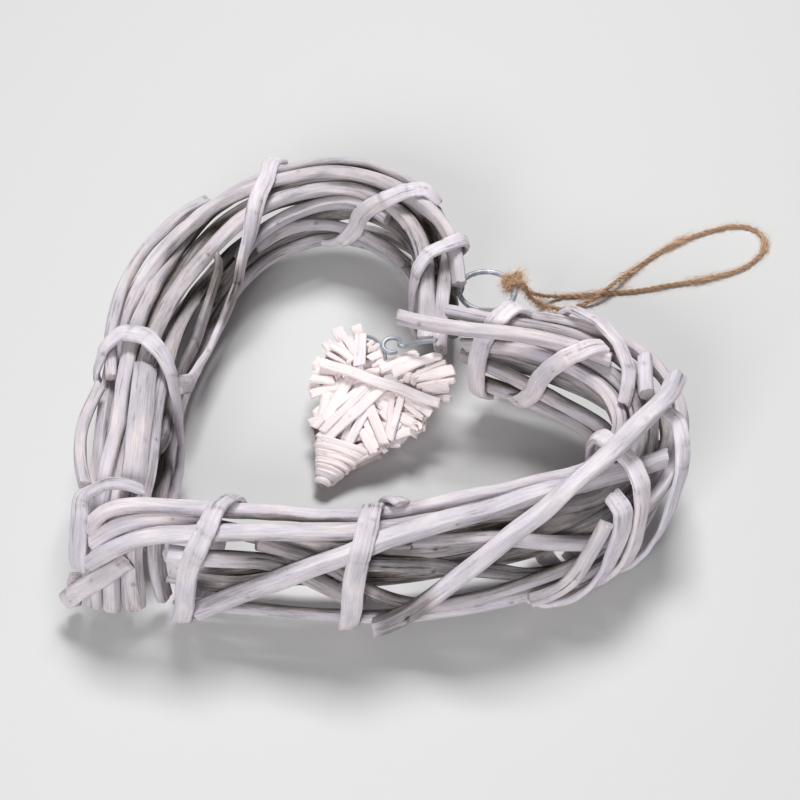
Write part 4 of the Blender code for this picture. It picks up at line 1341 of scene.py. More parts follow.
# Noises of the wood grain: how fine across, through and along, their detail and their roughness
GRAIN = {"Fine": ((2.6, 2.6, 0.10), 4.0, 0.65), "Broad": ((1.1, 1.1, 0.045), 5.0, 0.6),
         "Patch": ((0.16, 0.16, 0.055), 3.0, 0.6), "Speck": ((1.5, 1.5, 0.7), 4.0, 0.6)}

# Bare wood, dark and light
BARE_WOOD = ((0.10, 0.075, 0.06, 1.0), (0.30, 0.24, 0.20, 1.0))

# Coats of the wash: from and to which cover each one shows, and its cool and its warm colour
COATS = ((0.38, 0.70, (0.40, 0.37, 0.38, 1.0), (0.60, 0.48, 0.41, 1.0)),
         (0.70, 1.12, (0.675, 0.63, 0.695, 1.0), (0.86, 0.75, 0.73, 1.0)),
         (1.15, 1.55, (0.80, 0.77, 0.845, 1.0), (0.95, 0.85, 0.845, 1.0)))


def grain_group() -> Tree:
    """Group that draws wood grain: fine and broad streaks lengthwise, patches and specks.

    Returns:
        The group.
    """
    tree, g, source, sink = group("Wood grain", {"Place": "NodeSocketVector"},
                                  dict.fromkeys(GRAIN, FLOAT))
    for label, (fine, detail, rough) in GRAIN.items():
        g.feed(sink, {label: g.noise(g.scaled(source["Place"], fine), detail, rough)})
    return tree


def wash_group(grain: Tree) -> Tree:
    """Group that lays a thin white wash over willow.

    The wash covers where a sum of patch, streak and relief is high; it wears off at knots, cracks,
    creases and cut ends, and the bare wood shows there.  On the side that faces in it is thinned
    as wear and as painted shade, and the Bright and Bare inputs draw the pieces deep inside a
    bundle darker, as painted shade, and barer, where the wash reaches less.

    Args:
        grain: the wood grain group.

    Returns:
        The group.
    """
    tree, g, source, sink = group("Whitewash", {
        "Place": "NodeSocketVector", "Relief": FLOAT, "WearAndShade": FLOAT, "Cut": FLOAT,
        "Bright": FLOAT, "Warmth": FLOAT, "Bare": FLOAT}, {
            "Color": "NodeSocketColor", "Roughness": FLOAT, "Height": FLOAT})
    wood = g.placed(grain, {"Place": source["Place"]})
    fine, broad, patch, speck = (wood[k] for k in GRAIN)
    # The wear and shade input brings painted shade on the side that faces in, and the bareness
    # input brings some deep inside the bundles
    cover = g.total(-0.55, (patch, 0.8), (broad, 1.15), (fine, 1.15), (speck, 0.3),
                    (source["Relief"], 0.35), (source["WearAndShade"], -0.55), (source["Bare"], -0.45),
                    (source["Cut"], -0.15))
    warm = g.math("ADD", g.total(-1.2, (patch, 2.4)), source["Warmth"], clamp=True)
    colour = g.mixed(g.step(broad, 0.35, 0.65), *BARE_WOOD)
    for low, high, cool_coat, warm_coat in COATS:
        coat = g.mixed(warm, cool_coat, warm_coat)
        colour = g.mixed(g.step(cover, low, high), colour, coat)
    # Brightness, which carries painted shade deep inside the bundles and under the small heart's
    # face strips
    shade = g.total(0.75, (source["Bright"], 0.5))
    lit = g.add("ShaderNodeHueSaturation", {"Value": shade, "Color": colour}).outputs[0]
    height = g.total(g.math("MULTIPLY", broad, 0.5), (fine, 0.6), (cover, 0.35), (speck, 0.4))
    g.feed(sink, {"Color": lit, "Roughness": g.total(0.70, (fine, 0.2)), "Height": height})
    return tree


def fresh_material(name: str) -> tuple[Material, Graph, bpy.types.Node]:
    """A new material with its graph and its shader.

    Args:
        name: its name.

    Returns:
        The material, its graph and its shader.
    """
    material = bpy.data.materials.new(name)
    material.use_nodes = True
    return material, Graph(material.node_tree), material.node_tree.nodes["Principled BSDF"]


@dataclass(frozen=True)
class WashedWillow:
    """Whitewashed willow; its shade, warmth and bareness come with each piece."""

    name: str = "whitewashed_willow"
    gloss: float = 0.14
    bump: float = 0.8
    bump_reach: float = 0.0003

    def make(self, wash: Tree) -> Material:
        """Make the material.

        Args:
            wash: the whitewash group.

        Returns:
            The material.
        """
        material, g, shader = fresh_material(self.name)
        tone = g.parts("tone")
        hue = g.parts("hue")
        coat = g.placed(wash, {
            "Place": g.read("grain"), "Relief": tone[0], "Cut": tone[1], "WearAndShade": tone[2],
            "Bright": hue[0], "Warmth": hue[1], "Bare": hue[2]})
        g.feed(shader, {
            "Base Color": coat["Color"], "Roughness": coat["Roughness"],
            "Normal": g.bump(coat["Height"], self.bump, self.bump_reach),
            "Specular IOR Level": self.gloss})
        return material


@dataclass(frozen=True)
class PaintedWire:
    """Steel wire in pale blue-grey paint, with specks where the paint is thin."""

    name: str = "grey_wire"
    paint: tuple = (0.34, 0.37, 0.42, 1.0)
    pale: tuple = (0.54, 0.56, 0.61, 1.0)
    dark: tuple = (0.16, 0.15, 0.16, 1.0)
    rough: float = 0.38
    metal: float = 0.25
    streaks: tuple = (0.5, 0.5, 1.5)

    def make(self, grain: Tree) -> Material:
        """Make the material.

        Args:
            grain: the wood grain group, read here as streaks of paint.

        Returns:
            The material.
        """
        material, g, shader = fresh_material(self.name)
        wood = g.placed(grain, {"Place": g.scaled(g.read("grain"), self.streaks)})
        colour = g.mixed(g.step(wood["Broad"], 0.45, 0.62), self.paint, self.pale)
        worn = g.math("MULTIPLY", g.step(wood["Speck"], 0.66, 0.74), 0.6)
        g.feed(shader, {
            "Base Color": g.mixed(worn, colour, self.dark), "Roughness": self.rough,
            "Metallic": self.metal, "Normal": g.bump(wood["Speck"], 0.3, 0.0001)})
        return material


@dataclass(frozen=True)
class Jute:
    """Raw jute fibre, streaked from straw to brown along its strands, with painted highlight on
    the ridges of its plies and painted shade in their grooves.
    """

    name: str = "jute_twine"
    straw: tuple = (0.82, 0.59, 0.42, 1.0)
    middle: tuple = (0.58, 0.36, 0.215, 1.0)
    brown: tuple = (0.30, 0.16, 0.075, 1.0)
    rough: float = 0.85
    gloss: float = 0.2
    streaks: tuple = (2.2, 2.2, 3.0)

    def make(self, grain: Tree) -> Material:
        """Make the material.

        Args:
            grain: the wood grain group, read here as fibres.

        Returns:
            The material.
        """
        material, g, shader = fresh_material(self.name)
        wood = g.placed(grain, {"Place": g.scaled(g.read("grain"), self.streaks)})
        # The tone's first part lightens the ridges as painted highlight and darkens the grooves as
        # painted shade
        light = g.math("ADD", wood["Fine"], g.total(-0.25, (g.parts("tone")[0], 0.5)))
        colour = g.mixed(g.step(light, 0.34, 0.54), self.brown, self.middle)
        g.feed(shader, {
            "Base Color": g.mixed(g.step(light, 0.52, 0.74), colour, self.straw),
            "Roughness": self.rough, "Normal": g.bump(wood["Fine"], 0.8, 0.0002),
            "Specular IOR Level": self.gloss})
        return material


@dataclass
class Finishes:
    """Every finish of the wreath."""

    def __post_init__(self) -> None:
        """Make the groups and the materials."""
        grain = grain_group()
        wash = wash_group(grain)
        self.willow = WashedWillow().make(wash)
        self.small = WashedWillow("small_heart_willow").make(wash)
        self.wire = PaintedWire().make(grain)
        self.jute = Jute().make(grain)


def dressed(thing: Thing, node: str) -> Thing:
    """Hide the imported node that a piece stands for, and attach the piece to the root body.

    Args:
        thing: the piece.
        node: node that it stands for.

    Returns:
        The piece.
    """
    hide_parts(node)
    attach(thing, "root")
    return thing


RING_WIRE = 2.3
RING_OUTER = 25.5
RING_RADIUS = (RING_OUTER - RING_WIRE) / 2.0
RING_HOOK = (-1.7, 68.65, 38.0)
RING_AT = (RING_HOOK[0], RING_HOOK[1] + RING_OUTER / 2.0, RING_HOOK[2])
RING_COUNT = 16
LINK_WIRE = 1.9
LINK_FROM = (8.0, 43.5, 42.5)
LINK_OVER_NOTCH = (3.4, 6.6, 8.2)
LINK_ARCH = 0.8
LINK_EYE = 3.6
EYE_TURN = 330.0
EYE_COUNT = 9
EYE_SINK = 1.2
PIECE_GAP = 0.3
TWINE = 2.5
TWINE_STEP = 3.0
KNOT_LONG = 11.0
KNOT_WIDE = 8.0
KNOT_TURN = 70.0
SMALL_LONG = 70.0
SMALL_NOTCH = SMALL_LONG - 12.0
TWINE_OUT = (-2.1, 5.5, -2.4)
TWINE_BACK = (2.1, 5.5, -2.4)
LIE = TWINE / 2.0
LIFT = LIE + 1.35 * TWINE
TWINE_ROUTE = ((-2.0, 105.5, 22.0), (-3.9, 115.0, 12.0), (-4.7, 124.0, 4.0),
               (-2.0, 131.0, LIE), (3.4, 137.5, LIE), (9.1, 146.0, LIE), (19.3, 160.0, LIE),
               (24.8, 170.0, LIE), (30.7, 180.0, LIE), (36.5, 191.5, LIE), (41.3, 206.0, LIE),
               (40.8, 217.5, LIE), (36.9, 225.6, LIE), (29.6, 228.8, LIE), (21.6, 225.0, LIE),
               (15.5, 214.5, LIE), (11.2, 202.0, LIE), (8.6, 188.0, LIE), (8.2, 174.0, LIE),
               (8.8, 162.0, 2.2), (10.0, 152.5, LIFT), (10.6, 144.5, LIFT), (9.4, 137.5, 2.6),
               (7.0, 131.5, LIE), (4.3, 126.0, LIE), (1.3, 119.5, 4.5), (0.6, 112.0, 12.0),
               (1.9, 104.5, 22.0))


@dataclass
class SmallFrame:
    """The small heart's own frame: X across, Y from its tip to its notch, Z out of its face."""

    tip: tuple = (9.5, -21.0, 5.5)
    heading: float = 109.0
    tilt: float = 20.0

    def __post_init__(self) -> None:
        """Work out the axes."""
        heading = math.radians(self.heading)
        tilt = math.radians(self.tilt)
        self.y = np.array([math.cos(heading) * math.cos(tilt), math.sin(heading) * math.cos(tilt),
                           math.sin(tilt)])
        self.x = np.array([math.sin(heading), -math.cos(heading), 0.0])
        self.z = np.cross(self.x, self.y)

    def world(self, points: Rows) -> Rows:
        """Heart line frame points of points in this frame."""
        return np.array(self.tip) + self.turned(np.asarray(points, float))

    def turned(self, rows: Rows) -> Rows:
        """Heart line frame directions of directions in this frame."""
        return rows[..., :1] * self.x + rows[..., 1:2] * self.y + rows[..., 2:3] * self.z


SMALL = SmallFrame()


def ring_points(count: int) -> Rows:
    """Points of the wire ring's centre line, level and evenly spaced.

    Args:
        count: how many.

    Returns:
        The points.
    """
    angle = all_round(count)
    x = RING_AT[0] + RING_RADIUS * np.cos(angle)
    y = RING_AT[1] + RING_RADIUS * np.sin(angle)
    return np.stack([x, y, np.full(count, RING_AT[2])], axis=1)


def link_route() -> Rows:
    """Points of the wire link, with its eye turned round at the lower end.

    Returns:
        The points, from the cleft to the end of the eye.
    """
    over = SMALL.world((0.0, SMALL_NOTCH, 0.0)) + LINK_OVER_NOTCH
    middle = (over + LINK_FROM) / 2.0 + np.array([0.0, 0.0, LINK_ARCH])
    run = smooth_route([LINK_FROM, middle, over], 5)
    centre = SMALL.world((0.0, SMALL_NOTCH + LINK_WIRE / 2.0 + LINK_EYE + PIECE_GAP, 0.0))
    start = math.atan2(run[-1][1] - centre[1], run[-1][0] - centre[0])
    angle = start + np.radians(np.linspace(0.0, EYE_TURN, EYE_COUNT))
    lift = np.linspace(0.0, -LINK_WIRE * EYE_SINK, EYE_COUNT)
    x = centre[0] + LINK_EYE * np.cos(angle)
    y = centre[1] + LINK_EYE * np.sin(angle)
    return np.vstack([run, np.stack([x, y, run[-1][2] + lift], axis=1)])


def knot_centre() -> Rows:
    """Centre of the twine knot, on the wire of the ring, far from the cleft."""
    angle = math.radians(KNOT_TURN)
    return np.array(RING_AT) + RING_RADIUS * np.array([math.cos(angle), math.sin(angle), 0.0])


def fixed_wires() -> list[Strand]:
    """The ring, the link and the knot as strands that the willow gives way to.

    Returns:
        The strands, which stay put.
    """
    ring = ring_points(RING_COUNT)
    half = np.array([0.0, (KNOT_LONG - KNOT_WIDE) / 2.0, 0.0])
    knot = np.array([knot_centre() - half, knot_centre() + half])
    return [Strand("ring", np.vstack([ring, ring[:1]]), RING_WIRE, RING_WIRE, 0.0, 0.0),
            Strand("link", link_route(), LINK_WIRE, LINK_WIRE, 0.0, 0.0),
            Strand("knot", knot, KNOT_WIDE, KNOT_WIDE, 0.0, 0.0)]


def lying(line: Rows) -> Rows:
    """The twine's line, nowhere lower than the table lets it lie."""
    line[:, 2] = np.maximum(line[:, 2], LIE)
    return line


def twine_route() -> Rows:
    """Points of the twine loop's centre line.

    Returns:
        The points, an even step apart.
    """
    ends = knot_centre() + np.array([TWINE_OUT, TWINE_BACK])
    line = smooth_route([ends[0], *TWINE_ROUTE, ends[1]], ROUTE_POINTS)
    return lying(even_steps(line, TWINE_STEP * TWINE))


# Lowest station of the bundle's middle that a strip's face is turned away from
TIP_INSET = 20.0

# Directions in which each make of willow is shaved flat, in radians from its top
FLATS = {Make.ROUND: (0.1, 1.15, -1.25, 2.6), Make.SPLIT: (0.25, -0.85, 0.9), Make.SKEIN: (0.0,)}


@dataclass(frozen=True)
class Facing:
    """How a strip turns its face `ahead`, from one share of its length to another."""

    ahead: tuple
    begins: float
    ends: float
    rise: float
    shift: tuple


FACING = {"tip_binding": Facing((0.3, -0.95, 0.15), 0.38, 0.60, 1.2, (4.2, -0.8, 0.0))}


@dataclass
class WillowWreath:
    """The rods, strips and bindings of both bundles."""

    finish: Material
    step: float = 0.8
    grow: float = 0.5
    wobble: float = 0.12
    split_thick: float = 0.94
    calm: int = 9
    crisp: float = 0.88
    strip_thick: float = 2.9
    strip_sink: float = 0.3
    tuck: float = 3.2
    tuck_long: float = 9.0
    grey_left: float = 0.18
    bare_left: float = 0.15

    def build(self) -> list[Thing]:
        """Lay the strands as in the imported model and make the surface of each.

        Returns:
            The pieces.
        """
        strands = willow()
        lay_clear(strands + fixed_wires())
        pieces = []
        for strand in strands:
            piece = self.surface(strand).piece(f"{strand.name}_surface", self.finish)
            pieces.append(dressed(piece, strand.name))
        return pieces

    def surface(self, strand: Strand) -> Shell:
        """The surface of one strand.

        Args:
            strand: the strand, once it has made room.

        Returns:
            Its surface.
        """
        rng = seed_of(strand.name)
        wound = strand.make is Make.SKEIN
        shift = strand.points - strand.start
        for _ in range(1 if wound else self.calm):
            shift = eased(shift, 0.25)
        route = strand.start + shift
        length = run_along(route)[-1]
        count = max(12, int(length / self.step))
        line = smooth_route(route, count)
        if wound:
            line = evened(line + self.crisp * (even_count(route, count) - line), 2)
        along = run_along(line)
        way = headings(line)
        side = unit(evened(strip_side(line, TIP_INSET), 9))
        if not strand.wraps:
            side = carried(line, side[count // 2], count // 2)
        up = np.cross(side, way)
        facing = FACING.get(strand.name)
        if facing:
            share = ramp(along / along[-1], facing.begins, facing.ends)[:, None]
            up = unit((1.0 - share) * up + share * np.array(facing.ahead))
            side = unit(np.cross(way, up))
            up = np.cross(side, way)
        near = np.minimum(along, along[-1] - along)
        sway = self.wobble * ramp(near, 0.0, 8.0)
        line = line + (sway * drift(along, 40.0, rng))[:, None] * side
        line = line + (sway * drift(along, 34.0, rng))[:, None] * up
        thick = strand.thick + self.grow
        if wound:
            thick = self.strip_thick
            sink = (strand.thick - thick) / 2.0 + self.strip_sink
            if facing:
                sink = sink - facing.rise * share[:, 0]
                line = line + share * np.array(facing.shift)
            sink = sink + self.tuck * (1.0 - np.clip(near / self.tuck_long, 0.0, 1.0)) ** 2
            line = line - np.reshape(sink, (-1, 1)) * up
        if strand.make is Make.SPLIT:
            thick *= self.split_thick
        hue = self.hue(strand.name, rng)
        bark = Bark(knot=0.15, lump=0.05) if wound else Bark()
        around = 44 if strand.wide > 7.5 else 36
        return Length(line, side, strand.make, strand.wide + self.grow, thick, rng, hue, around,
                      bark, ragged=0.8, in_bundle=True, flats=FLATS[strand.make]).shell()

    def hue(self, name: str, rng: Draws) -> tuple:
        """Brightness, warmth and bareness of a strand: bindings are fresh, the left is greyer.

        Args:
            name: the strand's node.
            rng: random draws.

        Returns:
            The three.
        """
        bright = rng.uniform(0.35, 0.68)
        bare = rng.uniform(0.0, 0.35)
        if "binding" in name:
            bright += 0.08
            bare *= 0.5
        elif name.startswith("left"):
            bright -= self.grey_left
            bare += self.bare_left
        return bright, rng.uniform(0.0, 0.3), bare


# Face strips of the small heart: both ends across and up, height out of the face, and width
FACE_STRIPS = (
    (-25.1, 46.3, 30.5, 48.8, 5.5, 4.6), (-10.9, 18.9, -18.7, 40.4, 1.0, 4.2),
    (-11.5, 23.6, -10.6, 46.1, 2.0, 5.0), (-9.4, 19.1, -0.7, 49.5, 3.5, 3.8),
    (-6.4, 15.4, 6.1, 49.3, 4.0, 4.1), (2.5, 17.6, 2.8, 37.4, 3.0, 4.3),
    (2.7, 37.8, 17.4, 24.4, 3.5, 4.3), (4.5, 27.4, 15.0, 19.8, 2.5, 3.4),
    (13.5, 47.7, 18.3, 26.6, 3.8, 3.0), (4.6, 40.9, 26.8, 37.3, 1.5, 4.2),
    (4.0, 42.5, 13.7, 49.3, 2.0, 3.2), (11.3, 49.2, 28.8, 44.2, 3.0, 4.1),
    (0.2, 53.1, 12.7, 65.1, 4.0, 3.9), (5.7, 53.0, 21.5, 69.9, 4.5, 4.5),
    (13.7, 56.3, 28.5, 65.9, 3.2, 5.5), (19.0, 51.9, 29.8, 57.8, 2.6, 4.5),
    (12.1, 57.2, 12.7, 51.9, 4.2, 3.0), (-24.5, 55.7, -11.9, 53.1, 3.5, 3.6),
    (-20.7, 61.1, -12.1, 56.2, 4.2, 4.1), (-15.0, 65.0, -8.3, 50.9, 4.0, 5.1),
    (-8.9, 59.2, -4.6, 63.8, 4.3, 2.6), (-7.1, 55.5, -2.0, 61.1, 3.5, 3.6),
    (-2.6, 55.4, -1.1, 60.2, 2.5, 3.2), (-25.8, 39.0, -15.5, 42.6, 2.2, 3.8),
    (-24.4, 45.2, -17.1, 46.9, 2.0, 3.8), (7.4, 38.4, 18.9, 33.7, 2.0, 4.1))

# Strips of the small heart's bed, which fill it between the two faces
BED_STRIPS = (
    (-9.0, 12.0, 25.0, 46.0, 0.9, 4.6), (-17.0, 21.0, 19.0, 58.0, 0.7, 5.0),
    (-23.0, 33.0, 10.0, 64.0, 0.9, 4.8), (-26.0, 43.0, -8.0, 64.0, 0.8, 4.8),
    (0.0, 12.0, 26.0, 38.0, 1.0, 4.6), (4.0, 14.0, -19.0, 60.0, -0.6, 4.8),
    (13.0, 20.0, -4.0, 58.0, -0.8, 4.8), (-25.0, 56.0, 22.0, 30.0, -0.5, 4.6),
    (20.0, 26.0, 6.0, 64.0, -0.7, 4.8), (26.0, 36.0, 16.0, 68.0, -0.6, 4.8),
    (-4.0, 13.0, -24.0, 48.0, -0.8, 4.6))

# Outline of the small heart: across and up
SMALL_OUTLINE = (
    (0.6, 2.0), (-9.2, 13.4), (-16.0, 23.9), (-20.5, 33.9), (-25.4, 40.5), (-25.9, 50.0),
    (-25.0, 58.5), (-20.5, 63.6), (-14.5, 65.4), (-7.0, 62.5), (-0.6, 57.9), (5.0, 62.5),
    (12.4, 67.6), (20.0, 69.3), (26.0, 66.0), (28.4, 58.5), (28.2, 47.0), (26.2, 36.5),
    (21.6, 30.0), (17.4, 22.2), (11.0, 14.0))


@dataclass
class SmallHeart:
    """The small heart: split strips woven criss-cross, with a wound tip."""

    finish: Material
    node: str = "small_heart"
    strip_thick: float = 1.5
    broaden: float = 0.98
    filler_wide: float = 2.9
    turns: float = 6.6
    pitch: float = 2.75
    wound_wide: float = 3.1
    wound_thick: float = 1.5
    rim_wide: float = 2.4

    def strip(self, number: int, row: tuple, face: float, seed: str) -> Shell:
        """One split strip across the small heart.

        Args:
            number: its place in its table.
            row: both ends across and up, height out of the face, and width.
            face: 1 for the front, -1 for the back.
            seed: what its random draws belong to.

        Returns:
            The strip's surface.
        """
        rng = seed_of(f"{self.node} {seed} {number}")
        x0, y0, x1, y1, high, wide = row
        count = max(10, int(math.hypot(x1 - x0, y1 - y0) / 0.6))
        share = np.linspace(0.0, 1.0, count)[:, None]
        ends = np.array([[x0, y0, high * face], [x1, y1, high * face]])
        line = ends[0] + share * (ends[1] - ends[0])
        way = unit(ends[1] - ends[0])
        across = np.array([-way[1], way[0], 0.0])
        long = run_along(line)
        arch = np.sin(math.pi * share[:, 0])
        sway = 0.15 * drift(long, 22.0, rng) + rng.uniform(-0.4, 0.4) * arch
        line = line + sway[:, None] * across
        line[:, 2] += face * (rng.uniform(0.1, 0.7) * arch - 0.25) + 0.12 * drift(long, 15.0, rng)
        side = np.tile(across * face, (count, 1)) * -1.0
        bright = rng.uniform(0.52, 0.68)
        bare = rng.uniform(-0.75, -0.45)
        # Bed and filler strips lie under the face strips, so they are painted darker as shade,
        # with a little less wash
        if seed in ("bed", "filler"):
            bright -= 0.06
            bare += 0.12
        hue = (bright, rng.uniform(0.75, 1.0), bare)
        return Length(SMALL.world(line), SMALL.turned(side), Make.SPLIT, self.broaden * wide,
                      self.strip_thick, rng, hue, 28, Bark(0.04, 0.03, 0.2, 0.25, 0.08),
                      ragged=0.6).shell()

    def fillers(self) -> list[tuple]:
        """Rows of narrower strips, each beside and a little under one of the face strips.

        Returns:
            Rows like those of the face strips.
        """
        rows = []
        for number, (x0, y0, x1, y1, high, wide) in enumerate(FACE_STRIPS[1:]):
            rng = seed_of(f"{self.node} beside {number}")
            long = math.hypot(x1 - x0, y1 - y0)
            off = rng.choice((-1.0, 1.0)) * (0.5 * wide + rng.uniform(0.9, 2.0)) / long
            lean = rng.normal(0.0, 0.9)
            dx, dy = -(y1 - y0) * off, (x1 - x0) * off
            rows.append((x0 + dx - lean, y0 + dy, x1 + dx + lean, y1 + dy, max(0.6, high - 1.3),
                         self.filler_wide * rng.uniform(0.75, 1.2)))
        return rows

    def rim(self) -> Shell:
        """The frame rod round the edge, from the tip round both lobes.

        Returns:
            Its surface.
        """
        rng = seed_of(f"{self.node} rim")
        points = np.array([(x, y, 0.0) for x, y in SMALL_OUTLINE + SMALL_OUTLINE[:1]])
        line = smooth_route(points, 340)
        line[:, 2] += 0.3 * drift(run_along(line), 40.0, rng)
        inward = np.array([0.0, 42.0, 0.0]) - line
        line[:, :2] += 2.4 * unit(inward)[:, :2]
        place = SMALL.world(line)
        side = np.cross(headings(place), SMALL.z)
        return Length(place, side, Make.ROUND, self.rim_wide, self.rim_wide, rng,
                      (0.42, 0.9, 0.35), 24, Bark(0.06, 0.03, 0.25, 0.2, 0.05), taper=0.0).shell()

    def winding(self) -> Shell:
        """The strip that is wound round the tip.

        Returns:
            Its surface.
        """
        rng = seed_of(f"{self.node} winding")
        turn = np.linspace(0.0, TAU * self.turns, int(self.turns * 64))
        up = 0.6 + self.pitch * turn / TAU
        half = 2.3 + 0.50 * up
        deep = 2.6 + 0.10 * up
        lean = 0.16 * half * np.cos(turn)
        line = np.stack([0.4 + half * np.cos(turn), up + lean, deep * np.sin(turn)], axis=1)
        line += 0.12 * drift(run_along(line), 16.0, rng)[:, None]
        place = SMALL.world(line)
        way = headings(place)
        out = np.stack([np.cos(turn) / half, 0.0 * turn - 0.05, np.sin(turn) / deep], axis=1)
        side = np.cross(way, unit(SMALL.turned(out)))
        return Length(place, side, Make.SKEIN, self.wound_wide, self.wound_thick, rng,
                      (0.74, 0.9, -0.6), 24, Bark(0.05, 0.025, 0.1, 0.18, 0.05), taper=0.0,
                      fold_from=0.5, fold_full=1.0).shell()

    def core(self) -> Shell:
        """The butt ends of the strips, bundled inside the winding.

        Returns:
            Its surface.
        """
        rng = seed_of(f"{self.node} core")
        line = np.stack([np.full(40, 0.5), np.linspace(-0.6, 21.0, 40), np.zeros(40)], axis=1)
        side = np.tile(-SMALL.x, (40, 1))
        place = SMALL.world(line)
        shell = Length(place, side, Make.SPLIT, 1.0, 4.4, rng, (0.2, 0.8, 0.9), 28,
                       Bark(0.02, 0.02, 0.0, 0.0, 0.0), taper=0.0).shell()
        off = (shell.points - np.array(SMALL.tip)) @ np.stack([SMALL.x, SMALL.y, SMALL.z], axis=1)
        off[:, 0] = 0.5 + (off[:, 0] - 0.5) * (3.2 + 0.86 * np.clip(off[:, 1], 0.0, 21.0))
        shell.points = SMALL.world(off)
        return shell

    def tuft(self) -> list[Shell]:
        """Torn shavings that stand out at the right edge.

        Returns:
            One surface for each shaving.
        """
        shells = []
        for number in range(7):
            rng = seed_of(f"{self.node} tuft {number}")
            start = np.array([23.4 + rng.uniform(-1, 1), 37.4 + rng.uniform(-1.5, 1.5), 3.0])
            end = start + [rng.uniform(2.5, 5.2), rng.uniform(-3.0, 0.5), rng.uniform(-0.6, 1.4)]
            middle = (start + end) / 2.0 + rng.normal(0.0, 0.5, 3)
            line = smooth_route([start, middle, end], 14)
            place = SMALL.world(line)
            side = np.cross(headings(place), SMALL.z)
            shells.append(Length(place, side, Make.SKEIN, rng.uniform(0.7, 1.6), 0.5, rng,
                                 (0.7, 0.8, 0.0), 12, Bark(0.01, 0.01, 0, 0.05, 0)).shell())
        return shells

    def build(self) -> Thing:
        """Make the whole small heart.

        Returns:
            The piece.
        """
        shells = [self.strip(n, row, 1.0, "face") for n, row in enumerate(FACE_STRIPS)]
        mirrored = [(-x0, y0, -x1, y1, max(1.6, 0.62 * high), wide)
                    for x0, y0, x1, y1, high, wide in FACE_STRIPS[:16]]
        shells += [self.strip(n, row, -1.0, "back") for n, row in enumerate(mirrored)]
        shells += [self.strip(n, row, 1.0, "bed") for n, row in enumerate(BED_STRIPS)]
        shells += [self.strip(n, row, 1.0, "filler") for n, row in enumerate(self.fillers())]
        shells += [self.rim(), self.winding(), self.core()] + self.tuft()
        piece = Shell.together(shells).piece("small_heart_weave", self.finish)
        return dressed(piece, self.node)


def wire_shell(line: Rows, thick: float, name: str) -> Shell:
    """A length of painted wire with cut ends.

    Args:
        line: its points.
        thick: its thickness.
        name: what its random draws belong to.

    Returns:
        Its surface.
    """
    rng = seed_of(name)
    way = headings(line)
    side = np.cross(way, UP + 0.01)
    return Length(line, side, Make.ROUND, thick, thick, rng, around=20,
                  bark=Bark(0.012, 0.004, 0.0, 0.0, 0.0), taper=0.0, ragged=0.1,
                  fold_from=5.0, fold_full=6.0).shell()


# Short wire at the small heart's notch that the link is hooked into
NOTCH_WIRE = ((-22.4, 31.9, 30.0), (-19.1, 32.4, 31.2), (-14.3, 32.5, 31.4),
              (-9.4, 30.7, 30.0), (-8.0, 29.6, 26.5))
NOTCH_THICK = 1.5


@dataclass
class Wires:
    """The hanging ring and the link from the cleft to the small heart."""

    finish: Material
    ring_steps: int = 220
    ring_around: int = 24
    uneven: float = 0.016
    link_step: float = 0.35

    def ring(self) -> Thing:
        """The ring, a closed round wire with slightly uneven paint.

        Returns:
            The piece.
        """
        rng = seed_of("hanging_ring")
        turn = all_round(self.ring_steps)
        out = np.stack([np.cos(turn), np.sin(turn), np.zeros_like(turn)], axis=1)
        line = np.array(RING_AT) + RING_RADIUS * out
        angle = all_round(self.ring_around)
        rise = np.zeros((self.ring_steps, self.ring_around))
        for waves, turns in ((1, 7), (2, 11), (1, 19), (3, 26), (2, 41)):
            phase = rng.uniform(0.0, TAU)
            rise += self.uneven * np.sin(turns * turn[:, None] + waves * angle[None, :] + phase)
        reach = RING_WIRE / 2.0 + rise
        x = reach * np.cos(angle)
        y = reach * np.sin(angle)
        rings = line[:, None, :] + x[..., None] * out[:, None, :] + y[..., None] * UP
        long = np.broadcast_to((RING_RADIUS * turn)[:, None], x.shape)
        points = rings.reshape(-1, 3)
        grain = points.copy()
        tone = np.stack([0.5 + 4.0 * rise, 0.0 * rise, 0.0 * long], axis=-1).reshape(-1, 3)
        shell = Shell(points, looped_tube(rings)[:, ::-1], np.zeros((0, 3), int), grain, tone,
                      0.0 * grain + 0.5)
        return dressed(shell.piece("hanging_ring_wire", self.finish), "hanging_ring")

    def link(self) -> Thing:
        """The link, with its eye and the short wire that is hooked into it.

        Returns:
            The piece.
        """
        line = even_steps(smooth_route(link_route(), 500), self.link_step)
        short = even_steps(smooth_route(NOTCH_WIRE, 300), self.link_step)
        shells = [wire_shell(line, LINK_WIRE, "link"),
                  wire_shell(short, NOTCH_THICK, "notch wire 0")]
        piece = Shell.together(shells).piece("small_heart_link_wire", self.finish)
        return dressed(piece, "small_heart_link")

    def build(self) -> list[Thing]:
        """Make both."""
        return [self.ring(), self.link()]


def bent_frame(line: Rows) -> tuple[Rows, Rows]:
    """Two directions across a line that turn with it as little as they can.

    Args:
        line: its points, close together.

    Returns:
        The first and the second direction at every point.
    """
    way = headings(line)
    first = carried(line, np.cross(way[0], [0.31, 0.22, 0.93]), 0)
    return first, np.cross(way, first)


def off_line(points: Rows, line: Rows) -> Rows:
    """How far each point is from the nearest of a line's points.

    Args:
        points: any array of points.
        line: the line's points.

    Returns:
        The distances.
    """
    spots = points.reshape(-1, 3)
    apart = (spots ** 2).sum(axis=1)[:, None] + (line ** 2).sum(axis=1)[None, :]
    apart = (apart - 2.0 * spots @ line.T).min(axis=1)
    return np.sqrt(np.maximum(apart, 0.0)).reshape(points.shape[:-1])


